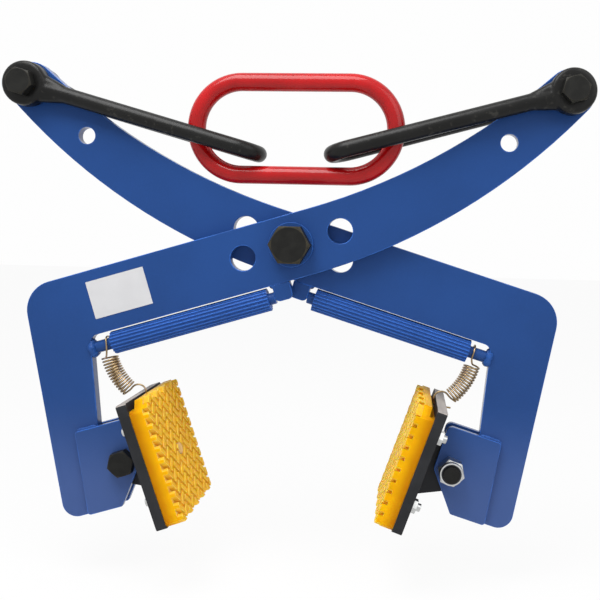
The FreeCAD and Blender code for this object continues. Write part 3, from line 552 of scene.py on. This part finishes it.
def plug_pale(w, base):
    """Pale cast plug, a little chalky."""
    cloud = w.noise(180, 4)
    w.feed(Base_Color=w.cloudy(cloud, base, 0.82, 1), Roughness=0.5 + cloud * 0.2,
           Specular_IOR_Level=0.35, Normal=w.bump(cloud, 0.2, 0.0006))


def spring_gold(w, base):
    """Yellow passivated wire with faint colour bands."""
    band = w.noise(140, 3)
    body = w.blend(band.clamp(0.35, 0.65), shade(base, 0.7), base)
    body = w.blend(w.noise(90, 2).clamp(0.55, 0.75) * 0.3, body, colours().spring_band)
    w.feed(Base_Color=body, Roughness=0.24 + band * 0.16, Metallic=1.0,
           Normal=w.bump(w.noise(800, 2), 0.08, 0.0002))


def zinc(w, base):
    """Bright zinc with fine handling marks."""
    cloud = w.noise(160, 4)
    w.feed(Base_Color=w.cloudy(cloud, base, 0.78, 1), Roughness=0.22 + cloud * 0.2, Metallic=1.0,
           Normal=w.bump(w.noise(700, 3), 0.1, 0.0003))


def nut_insert(w, base):
    """Plastic ring that locks a nut, coloured dark as painted shade of the nut's recess."""
    cloud = w.noise(220, 3)
    w.feed(Base_Color=w.cloudy(cloud, base, 0.8, 1.2), Roughness=0.4 + cloud * 0.15,
           Specular_IOR_Level=0.4, Normal=w.bump(cloud, 0.1, 0.0003))


def label_white(w, base):
    """Plain vinyl label, faintly uneven."""
    cloud = w.noise(50, 3)
    w.feed(Base_Color=w.cloudy(cloud, base, 0.96, 1), Roughness=0.4 + cloud * 0.1,
           Specular_IOR_Level=0.4, Normal=w.bump(w.noise(600, 2), 0.06, 0.0003))


def material(finish):
    """The material of that finish, made once."""
    name = "tongs_" + finish.__name__
    made = bpy.data.materials.get(name)
    if made is None:
        made = bpy.data.materials.new(name)
        made.use_nodes = True
        finish(Wire(made.node_tree), getattr(colours(), finish.__name__))
    return made


# Meshes

def merged_copy(node):
    """A CAD node's mesh with its loose triangles joined and its flat faces made whole."""
    bm = bmesh.new()
    bm.from_mesh(NODES[node].data)
    bmesh.ops.remove_doubles(bm, verts=bm.verts, dist=CAD_DOUBLES)
    bmesh.ops.dissolve_limit(bm, angle_limit=math.radians(CAD_FLAT), verts=bm.verts, edges=bm.edges)
    return bm


def bevel(bm, edges, width, segments=2, clamp=False):
    """Round edges, and return the new faces."""
    made = bmesh.ops.bevel(bm, geom=edges, offset=width, offset_type="OFFSET", affect="EDGES",
                           segments=segments, profile=0.5, material=-1, clamp_overlap=clamp)
    return made["faces"]


def round_edges(bm, width, sharp=30):
    """Round every convex edge sharper than the angle, and note the new faces as edge."""
    note = bm.faces.layers.float.get("edge") or bm.faces.layers.float.new("edge")
    edges = [e for e in bm.edges
             if len(e.link_faces) == 2 and e.is_convex and e.calc_face_angle() > math.radians(sharp)]
    for face in bevel(bm, edges, width, clamp=True):
        face[note] = 1


def apply_modifiers(piece):
    """Put the modifiers' result into the mesh."""
    view = bpy.context.evaluated_depsgraph_get()
    done = bpy.data.meshes.new_from_object(piece.evaluated_get(view), preserve_all_data_layers=True,
                                           depsgraph=view)
    before = piece.data
    piece.modifiers.clear()
    piece.data = done
    done.name = before.name
    bpy.data.meshes.remove(before)


def put(name, data):
    """A new object in the scene."""
    made = bpy.data.objects.new(name, data)
    bpy.context.scene.collection.objects.link(made)
    return made


def piece_from(bm, name, surface, smooth=35, weighted=True):
    """An object from a bmesh, shaded smooth between edges sharper than the angle."""
    mesh = bpy.data.meshes.new(name)
    for face in bm.faces:
        face.smooth = True
    bm.to_mesh(mesh)
    bm.free()
    mesh.set_sharp_from_angle(angle=math.radians(smooth))
    mesh.materials.append(surface)
    piece = put(name, mesh)
    if weighted:
        weights = piece.modifiers.new("weights", "WEIGHTED_NORMAL")
        weights.keep_sharp = True
        apply_modifiers(piece)
    return piece


def body_of(node):
    """Name of the body that a CAD node belongs to."""
    return NODES[node]["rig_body"]


def slot_of(node):
    """Material slot that the record gives a CAD node."""
    return next(part["material_slot"] for part in frame["record"]["subparts"] if part["node"] == node)


def settle(piece, node):
    """Let a piece stand for a CAD node: it joins the node's body and the node is hidden; the node's slot
    is only looked up.
    """
    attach(piece, body_of(node))
    slot_of(node)
    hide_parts(node)


def paint(node, surface):
    """Give a CAD node that stays its finish."""
    mesh = NODES[node].data
    mesh.materials.clear()
    mesh.materials.append(surface)


def rounded_piece(node, surface, width):
    """A CAD node with its edges rounded."""
    bm = merged_copy(node)
    round_edges(bm, width)
    settle(piece_from(bm, node + "_dressed", surface), node)


def both(suffix):
    """The left and right node of that name."""
    return tuple(side + "_" + suffix for side in SIDES)


def bead(start, end, radius):
    """A straight weld bead with ripples and tapered ends, from one point to another."""
    run = end - start
    axis = run.normalized()
    steps = max(4, round(run.length / (radius * WELD_STEP)))
    face = Matrix.Translation(start) @ axis.to_track_quat("Z", "Y").to_matrix().to_4x4()
    bm = bmesh.new()
    ring = bmesh.ops.create_circle(bm, cap_ends=True, segments=WELD_SIDES, radius=radius, matrix=face)
    made = bmesh.ops.spin(bm, geom=ring["verts"] + bm.edges[:], cent=start, axis=axis, angle=0,
                          dvec=run / steps, steps=steps)
    bmesh.ops.contextual_create(bm, geom=made["geom_last"])
    for vert in bm.verts:
        along = (vert.co - start).dot(axis)
        middle = start + axis * along
        ripple = 1 - RIPPLE_DEPTH + RIPPLE_DEPTH * math.cos(along / radius * RIPPLE_TURN)
        taper = min(1, WELD_END + min(along, run.length - along) / (radius * 2))
        vert.co = middle + (vert.co - middle) * ripple * taper
    return bm


def collar_bead(centre, inner, radius):
    """A weld bead round a rod that lies along x, lumpy where the passes overlap."""
    bm = bmesh.new()
    section = Matrix.Translation(centre + DEPTH * inner)
    ring = bmesh.ops.create_circle(bm, segments=WELD_SIDES, radius=radius, matrix=section)["verts"]
    bmesh.ops.spin(bm, geom=ring + bm.edges[:], cent=centre, axis=ALONG, angle=2 * math.pi,
                   steps=COLLAR_STEPS, use_merge=True)
    for vert in bm.verts:
        out = vert.co - centre
        turn = math.atan2(out.z, out.y)
        lump = 1 + sum(high * math.sin(count * turn + start) for high, count, start in COLLAR_LUMPS)
        middle = centre + (DEPTH * math.cos(turn) + UP * math.sin(turn)) * inner
        vert.co = middle + (vert.co - middle) * lump
    return bm


def gather(bm, part):
    """Add one mesh to another."""
    mesh = bpy.data.meshes.new("part")
    part.to_mesh(mesh)
    part.free()
    bm.from_mesh(mesh)
    bpy.data.meshes.remove(mesh)


# Operators

class TONGS_OT_arms(bpy.types.Operator):
    """Round and paint the arms, cheeks, lugs and grip rods"""
    bl_idname = "tongs.arms"
    bl_label = "Arms"

    def execute(self, context):
        for suffix in ("arm", "front_cheek", "rear_cheek", "grip_lug", "grip_rod"):
            for node in both(suffix):
                bm = merged_copy(node)
                wall = bm.faces.layers.float.new("wall")
                for face in bm.faces:
                    face[wall] = 1 if abs(face.normal.y) < WALL_LEAN else 0
                round_edges(bm, sizes().plate_round)
                settle(piece_from(bm, node + "_dressed", material(arm_paint)), node)
        return {"FINISHED"}


class TONGS_OT_welds(bpy.types.Operator):
    """Weld the grip rods, lugs and cheeks to the arms"""
    bl_idname = "tongs.welds"
    bl_label = "Welds"

    def execute(self, context):
        for side in SIDES:
            bm = bmesh.new()
            self.rod_bead(bm)
            self.lug_bead(bm)
            self.cheek_seams(bm)
            bmesh.ops.recalc_face_normals(bm, faces=bm.faces)
            # Weld faces are noted as edge, so the arm paint lightens them: painted highlight along the
            # seams
            edge = bm.faces.layers.float.new("edge")
            for face in bm.faces:
                face[edge] = WELD_HIGHLIGHT
            bm.transform(arm_frame(side))
            piece = piece_from(bm, side + "_arm_welds", material(arm_paint), smooth=70, weighted=False)
            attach(piece, side + "_arm")
        return {"FINISHED"}

    def rod_bead(self, bm):
        """A bead round the end of the grip rod, at the leg."""
        size = sizes()
        end = Vector((size.rod_end, 0, -size.grip_drop))
        gather(bm, collar_bead(end, size.rod_radius, size.weld_bead))

    def lug_bead(self, bm):
        """A bead across the plate in the outer corner above the lug."""
        size = sizes()
        reach = DEPTH * size.plate_half * LUG_SPAN
        corner = Vector((size.lug_end, 0, -size.bar_lower))
        gather(bm, bead(corner - reach, corner + reach, size.weld_bead))

    def cheek_seams(self, bm):
        """Fine seams where both cheeks lie on the leg."""
        size = sizes()
        for face in (size.plate_half, -size.plate_half):
            inner = Vector((size.cheek_inner, face, -size.cheek_top))
            outer = Vector((size.cheek_outer, face, -size.cheek_top))
            heel = Vector((size.cheek_heel, face, -size.cheek_foot))
            gather(bm, bead(inner, outer, size.weld_seam))
            gather(bm, bead(outer, heel, size.weld_seam))


class TONGS_OT_grips(bpy.types.Operator):
    """Dress the ribbed hand grips"""
    bl_idname = "tongs.grips"
    bl_label = "Grips"

    def execute(self, context):
        size = sizes()
        for side in SIDES:
            node = side + "_grip_sleeve"
            bm = merged_copy(node)
            # Groove faces are noted for the painted shade in the grooves
            groove = bm.faces.layers.float.new("groove")
            into = arm_frame(side).inverted()
            axis = arm_frame(side).to_3x3() @ ALONG
            for face in bm.faces:
                middle = into @ face.calc_center_median()
                out = math.hypot(middle.y, middle.z + size.grip_drop)
                sunk = out < size.grip_radius - size.rib_sink
                face[groove] = 1 if sunk and abs(face.normal.dot(axis)) < WALL_LEAN else 0
            piece = piece_from(bm, node + "_dressed", material(grip_skin), smooth=50, weighted=False)
            settle(piece, node)
        return {"FINISHED"}


class TONGS_OT_lifting_gear(bpy.types.Operator):
    """Paint the ring and smooth the forged shackles"""
    bl_idname = "tongs.lifting_gear"
    bl_label = "Lifting gear"

    def execute(self, context):
        paint("lifting_ring", material(ring_paint))
        for node in both("shackle"):
            bm = merged_copy(node)
            piece = piece_from(bm, node + "_forged", material(forging), smooth=60, weighted=False)
            grid = piece.modifiers.new("grid", "REMESH")
            grid.mode = "VOXEL"
            grid.voxel_size = sizes().forging_grid
            grid.use_smooth_shade = True
            soft = piece.modifiers.new("soft", "SMOOTH")
            soft.factor = 0.5
            soft.iterations = 8
            apply_modifiers(piece)
            settle(piece, node)
        return {"FINISHED"}


class TONGS_OT_fasteners(bpy.types.Operator):
    """Round and finish the bolts, nuts and washers"""
    bl_idname = "tongs.fasteners"
    bl_label = "Fasteners"

    def execute(self, context):
        width = sizes().bolt_round
        for node in ("pivot_bolt", "pivot_nut", *both("shackle_bolt"), *both("shackle_nut"),
                     *both("foot_bolt")):
            self.black_steel(node, width)
        for node in (*both("foot_nut"), *both("pad_nuts"), *both("pad_studs")):
            rounded_piece(node, material(zinc), width)
        for side in SIDES:
            self.insert(side)
        rounded_piece("pivot_washers", material(arm_paint), width)
        paint("pivot_wear_washer", material(zinc))
        return {"FINISHED"}

    def black_steel(self, node, width):
        """A blackened bolt or nut, its turned cones noted."""
        bm = merged_copy(node)
        low, high = TURNED_LEAN
        shine = 1 if node == "pivot_bolt" else SMALL_TURNED
        turned = bm.faces.layers.float.new("turned")
        for face in bm.faces:
            face[turned] = shine if low < abs(face.normal.y) < high else 0
        round_edges(bm, width)
        settle(piece_from(bm, node + "_dressed", material(bolt_black)), node)

    def insert(self, side):
        """The locking ring at the end of a foot nut's collar, dark as painted shade of the recess."""
        size = sizes()
        low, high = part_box(side + "_foot_nut")
        centre = Vector(JOINTS[side + "_pad_swivel"]["pos_m"])
        end = Vector((centre.x, low.y if side == "right" else high.y, centre.z))
        middle = (size.insert_inner + size.insert_outer) / 2
        bm = bmesh.new()
        section = Matrix.Translation(end + ALONG * middle) @ Matrix.Diagonal(
            (size.insert_outer - middle, size.insert_proud, 1, 1))
        ring = bmesh.ops.create_circle(bm, segments=INSERT_SIDES, radius=1, matrix=section)["verts"]
        bmesh.ops.spin(bm, geom=ring + bm.edges[:], cent=end, axis=-DEPTH if side == "right" else DEPTH,
                       angle=2 * math.pi, steps=INSERT_STEPS, use_merge=True)
        bmesh.ops.recalc_face_normals(bm, faces=bm.faces)
        piece = piece_from(bm, side + "_nut_insert", material(nut_insert), smooth=70, weighted=False)
        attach(piece, side + "_arm")


class TONGS_OT_pads(bpy.types.Operator):
    """Dress the backing plates, brackets and moulded pads"""
    bl_idname = "tongs.pads"
    bl_label = "Pads"

    def execute(self, context):
        for side in SIDES:
            self.plate(side)
            rounded_piece(side + "_pad_bracket", material(plate_dark), sizes().bolt_round)
            self.mould(side)
            self.plug(side)
        return {"FINISHED"}

    def plate(self, side):
        """The backing plate, its bare upper edge noted."""
        node = side + "_pad_plate"
        up = foot_frame(side).to_3x3() @ UP
        bm = merged_copy(node)
        round_edges(bm, sizes().bolt_round)
        cut = bm.faces.layers.float.new("cut")
        for face in bm.faces:
            face[cut] = 1 if face.normal.dot(up) > SAWN_LEAN else 0
        settle(piece_from(bm, node + "_dressed", material(plate_dark)), node)

    def mould(self, side):
        """The moulded pad, its block edges rounded and noted for painted highlight, and its grooves
        noted for painted light.
        """
        node = side + "_pad"
        size = sizes()
        bm = merged_copy(node)
        into = foot_frame(side).inverted()
        facing = foot_frame(side).to_3x3() @ -ALONG
        edge = bm.faces.layers.float.new("edge")
        depth = bm.faces.layers.float.new("depth")
        room = size.block_round * BLOCK_ROOM
        rims = set()
        for face in bm.faces:
            sunk = (into @ face.calc_center_median()).x + size.pad_front
            lowest = max((into @ vert.co).x for vert in face.verts) + size.pad_front
            if face.normal.dot(facing) > LEVEL_LEAN:
                face[depth] = 1 if sunk > room else 0
                if sunk < size.block_round and face.calc_area() > room ** 2:
                    rims.update(e for e in face.edges if e.is_convex)
            elif lowest < size.groove_deep:
                face[depth] = BLOCK_WALL_LIGHT
        for face in bevel(bm, list(rims), size.block_round):
            face[edge] = 1
        settle(piece_from(bm, node + "_dressed", material(pad_yellow)), node)

    def plug(self, side):
        """Round plug in the middle of the pad, with a rounded rim."""
        size = sizes()
        bm = bmesh.new()
        depth = size.plug_deep - size.plug_sink
        bmesh.ops.create_cone(bm, cap_ends=True, segments=40, radius1=size.plug_radius,
                              radius2=size.plug_radius * size.plug_taper, depth=depth)
        rim = [e for e in bm.edges if all(v.co.z > 0 for v in e.verts)]
        bevel(bm, rim, size.plug_round, segments=3)
        stand = Matrix.Translation((-size.pad_front + size.plug_sink + depth / 2, 0, -size.plug_drop))
        bm.transform(foot_frame(side) @ stand @ Matrix.Rotation(QUARTER_BACK, 4, "Y"))
        piece = piece_from(bm, side + "_pad_plug", material(plug_pale))
        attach(piece, side + "_pad")
        slot_of(side + "_pad")


class TONGS_OT_springs(bpy.types.Operator):
    """Wind the two return springs with their hooks"""
    bl_idname = "tongs.springs"
    bl_label = "Springs"

    def execute(self, context):
        for side in SIDES:
            self.wind(side)
        return {"FINISHED"}

    def wind(self, side):
        """One unbroken wire: hook round the rod, bowed coil, hook through the plate."""
        size = sizes()
        turn = HALF_TURN if side == "left" else Matrix()
        top = arm_frame("right") @ Vector((size.coil_top_along, 0, -size.coil_top_drop))
        end = foot_frame("right") @ Vector((-size.coil_end_back, 0, size.coil_end_rise))
        guide = self.guide([turn @ point for point in self.route(top, end)])
        bm = bmesh.new()
        bm.from_mesh(guide.to_mesh())
        bpy.data.objects.remove(guide)
        bmesh.ops.remove_doubles(bm, verts=bm.verts, dist=WIRE_DOUBLES)
        bmesh.ops.recalc_face_normals(bm, faces=bm.faces)
        node = side + "_pad_spring"
        piece = piece_from(bm, node + "_wound", material(spring_gold), smooth=60, weighted=False)
        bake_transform(piece)
        slot_of(node)
        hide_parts(node)

    def guide(self, points):
        """A round wire along the points, as a curve."""
        route = bpy.data.curves.new("route", "CURVE")
        route.dimensions = "3D"
        route.bevel_depth = sizes().spring_wire / 2
        route.bevel_resolution = 3
        route.use_fill_caps = True
        route.resolution_u = 3
        spline = route.splines.new("NURBS")
        spline.points.add(len(points) - 1)
        for made, point in zip(spline.points, points):
            made.co = (*point, 1)
        spline.order_u = 4
        spline.use_endpoint_u = True
        return put("route", route)

    def route(self, top, end):
        """Middle line of the right spring's wire."""
        size = sizes()
        rod = arm_frame("right") @ Vector((size.rod_hook_along, 0, -size.grip_drop))
        down = arm_frame("right").to_3x3() @ -UP
        points = [rod + self.spoke(down, DEPTH, turn) * size.rod_hook_radius for turn in ROD_HOOK]
        axis = end - top
        aside = axis.cross(DEPTH).normalized()
        count = TURN_POINTS * size.spring_turns + LAST_POINTS
        for step in range(count + 1):
            share = step / count
            middle = top + axis * share + aside * (4 * size.spring_bow * share * (1 - share))
            way = (axis + aside * (4 * size.spring_bow * (1 - 2 * share))).normalized()
            out = self.spoke(DEPTH, way.cross(DEPTH), step * 360 / TURN_POINTS)
            points.append(middle + out * size.spring_radius)
        points.append(end + way * size.spring_wire)
        plate = foot_frame("right") @ Vector((-size.plate_hook_back, 0, size.plate_hook_rise))
        hook = [(turn, 1) for turn in PLATE_HOOK]
        for turn, reach in (*hook, *PLATE_TAIL):
            out = self.spoke(-axis.normalized(), aside, turn)
            points.append(plate + out * size.plate_hook_radius * reach)
        return points

    def spoke(self, first, second, degrees):
        """Direction between two directions, turned from the first towards the second."""
        return first * math.cos(math.radians(degrees)) + second * math.sin(math.radians(degrees))


class TONGS_OT_label(bpy.types.Operator):
    """Stick the bare label on the front arm"""
    bl_idname = "tongs.label"
    bl_label = "Label"

    def execute(self, context):
        size = sizes()
        bm = bmesh.new()
        bmesh.ops.create_grid(bm, x_segments=8, y_segments=6, size=0.5,
                              matrix=Matrix.Diagonal((size.label_long, size.label_high, 1, 1)))
        made = bmesh.ops.extrude_face_region(bm, geom=bm.faces[:])
        raised = [v for v in made["geom"] if isinstance(v, bmesh.types.BMVert)]
        bmesh.ops.translate(bm, verts=raised, vec=(0, 0, size.label_thick))
        bmesh.ops.recalc_face_normals(bm, faces=bm.faces)
        lay = Matrix.Translation((size.label_along, size.plate_half + size.label_gap, 0))
        bm.transform(arm_frame("left") @ lay @ Matrix.Rotation(QUARTER_BACK, 4, "X"))
        piece = piece_from(bm, "bare_label", material(label_white))
        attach(piece, "left_arm")
        return {"FINISHED"}


class TONGS_OT_stage(bpy.types.Operator):
    """Set the floor, lights and camera"""
    bl_idname = "tongs.stage"
    bl_label = "Stage"

    def execute(self, context):
        stage = context.scene.tongs_stage
        self.floor(stage)
        self.backdrop(stage)
        self.light("key", stage.key_place, stage.light_aim, stage.key_size, stage.key_power)
        self.light("fill", stage.fill_place, stage.light_aim, stage.fill_size, stage.fill_power)
        self.room(context, stage)
        self.camera(context, stage)
        context.scene.view_settings.view_transform = "Standard"
        return {"FINISHED"}

    def floor(self, stage):
        """A wide pale floor that looks white and keeps the shadow."""
        level = Matrix.Translation((0, 0, CAD_BOX[0].z - stage.floor_gap))
        w = self.surface(self.sheet("floor", level, stage.sheet_half))
        pale = (*colours().floor, 1)
        matt = w.node("ShaderNodeBsdfDiffuse", None, {"Color": pale})
        white = w.node("ShaderNodeEmission", None, {"Color": pale, "Strength": 1.0})
        seen = w.sees_white() * stage.floor_white
        mixed = w.node("ShaderNodeMixShader", None, {0: seen, 1: matt, 2: white})
        w.node("ShaderNodeOutputMaterial", None, {"Surface": mixed})

    def backdrop(self, stage):
        """An upright white sheet far behind, for the camera and for reflections."""
        upright = Matrix.Translation((0, stage.backdrop_reach, 0)) @ Matrix.Rotation(math.pi / 2, 4, "X")
        backdrop = self.sheet("backdrop", upright, stage.sheet_half)
        backdrop.visible_diffuse = False
        backdrop.visible_shadow = False
        w = self.surface(backdrop)
        pale = (*colours().floor, 1)
        white = w.node("ShaderNodeEmission", None, {"Color": pale, "Strength": stage.white_level})
        w.node("ShaderNodeOutputMaterial", None, {"Surface": white})

    def sheet(self, name, stand, half):
        """A large flat square that belongs to the stage."""
        bm = bmesh.new()
        bmesh.ops.create_grid(bm, x_segments=1, y_segments=1, size=half, matrix=stand)
        mesh = bpy.data.meshes.new(name)
        bm.to_mesh(mesh)
        bm.free()
        piece = put(name, mesh)
        return piece

    def surface(self, piece):
        """A new material without nodes on a sheet, and a wire to start from."""
        made = bpy.data.materials.new(piece.name + "_white")
        made.use_nodes = True
        made.node_tree.nodes.clear()
        piece.data.materials.append(made)
        return Wire(made.node_tree)

    def light(self, name, stand, target, size, watts):
        """A large square light that looks at the target."""
        lamp = bpy.data.lights.new(name, "AREA")
        lamp.size = size
        lamp.energy = watts
        holder = put(name, lamp)
        holder.location = stand
        holder.rotation_euler = (Vector(target) - Vector(stand)).to_track_quat("-Z", "Y").to_euler()

    def room(self, context, stage):
        """Even light all round; the camera, gloss and glass see white."""
        world = bpy.data.worlds.new("room")
        context.scene.world = world
        world.use_nodes = True
        world.node_tree.nodes.clear()
        w = Wire(world.node_tree)
        strength = stage.room_level + w.sees_white() * (stage.white_level - stage.room_level)
        light = w.node("ShaderNodeBackground", None, {"Color": (1, 1, 1, 1), "Strength": strength})
        w.node("ShaderNodeOutputWorld", None, {"Surface": light})

    def camera(self, context, stage):
        """The photograph's viewpoint, for a square picture."""
        turn = Matrix.Rotation(-stage.yaw, 3, "Z")
        nod = Matrix.Rotation(-stage.pitch, 3, "X")
        tip = Matrix.Rotation(stage.roll, 3, "Y")
        back = (tip @ nod @ turn).transposed()
        eye = bpy.data.cameras.new("camera")
        eye.lens = stage.lens
        eye.shift_x = stage.shift_x
        eye.shift_y = stage.shift_y
        eye.clip_start = stage.near_clip
        pivot = UP * JOINTS["jaw"]["pos_m"][2]
        stand = pivot + back @ Vector((stage.aside, -stage.distance, -stage.drop))
        axes = Matrix((back.col[0], back.col[2], -back.col[1])).transposed().to_4x4()
        holder = put("camera", eye)
        holder.matrix_world = Matrix.Translation(stand) @ axes
        context.scene.camera = holder


STEPS = (TONGS_OT_arms, TONGS_OT_welds, TONGS_OT_grips, TONGS_OT_lifting_gear, TONGS_OT_fasteners,
         TONGS_OT_pads, TONGS_OT_springs, TONGS_OT_label, TONGS_OT_stage)


class TONGS_PT_panel(bpy.types.Panel):
    """Steps that dress the tongs"""
    bl_idname = "TONGS_PT_panel"
    bl_label = "Lifting Tongs"
    bl_space_type = "VIEW_3D"
    bl_region_type = "UI"
    bl_category = "Tongs"

    def draw(self, context):
        for group in (context.scene.tongs_colours, context.scene.tongs_sizes, context.scene.tongs_stage):
            column = self.layout.column()
            for name in group.bl_rna.properties.keys():
                if name not in ("rna_type", "name"):
                    column.prop(group, name)
        for step in STEPS:
            self.layout.operator(step.bl_idname)


CLASSES = (TongsColours, TongsSizes, TongsStage, *STEPS, TONGS_PT_panel)


def register():
    """Make the settings, steps and panel known."""
    for kind in CLASSES:
        bpy.utils.register_class(kind)
    bpy.types.Scene.tongs_colours = PointerProperty(type=TongsColours)
    bpy.types.Scene.tongs_sizes = PointerProperty(type=TongsSizes)
    bpy.types.Scene.tongs_stage = PointerProperty(type=TongsStage)


def unregister():
    """Take the settings, steps and panel away again."""
    del bpy.types.Scene.tongs_colours
    del bpy.types.Scene.tongs_sizes
    del bpy.types.Scene.tongs_stage
    for kind in reversed(CLASSES):
        bpy.utils.unregister_class(kind)


def main():
    """Dress the tongs step by step."""
    register()
    bpy.ops.tongs.arms()
    bpy.ops.tongs.welds()
    bpy.ops.tongs.grips()
    bpy.ops.tongs.lifting_gear()
    bpy.ops.tongs.fasteners()
    bpy.ops.tongs.pads()
    bpy.ops.tongs.springs()
    bpy.ops.tongs.label()
    bpy.ops.tongs.stage()


if __name__ == "__main__":
    main()
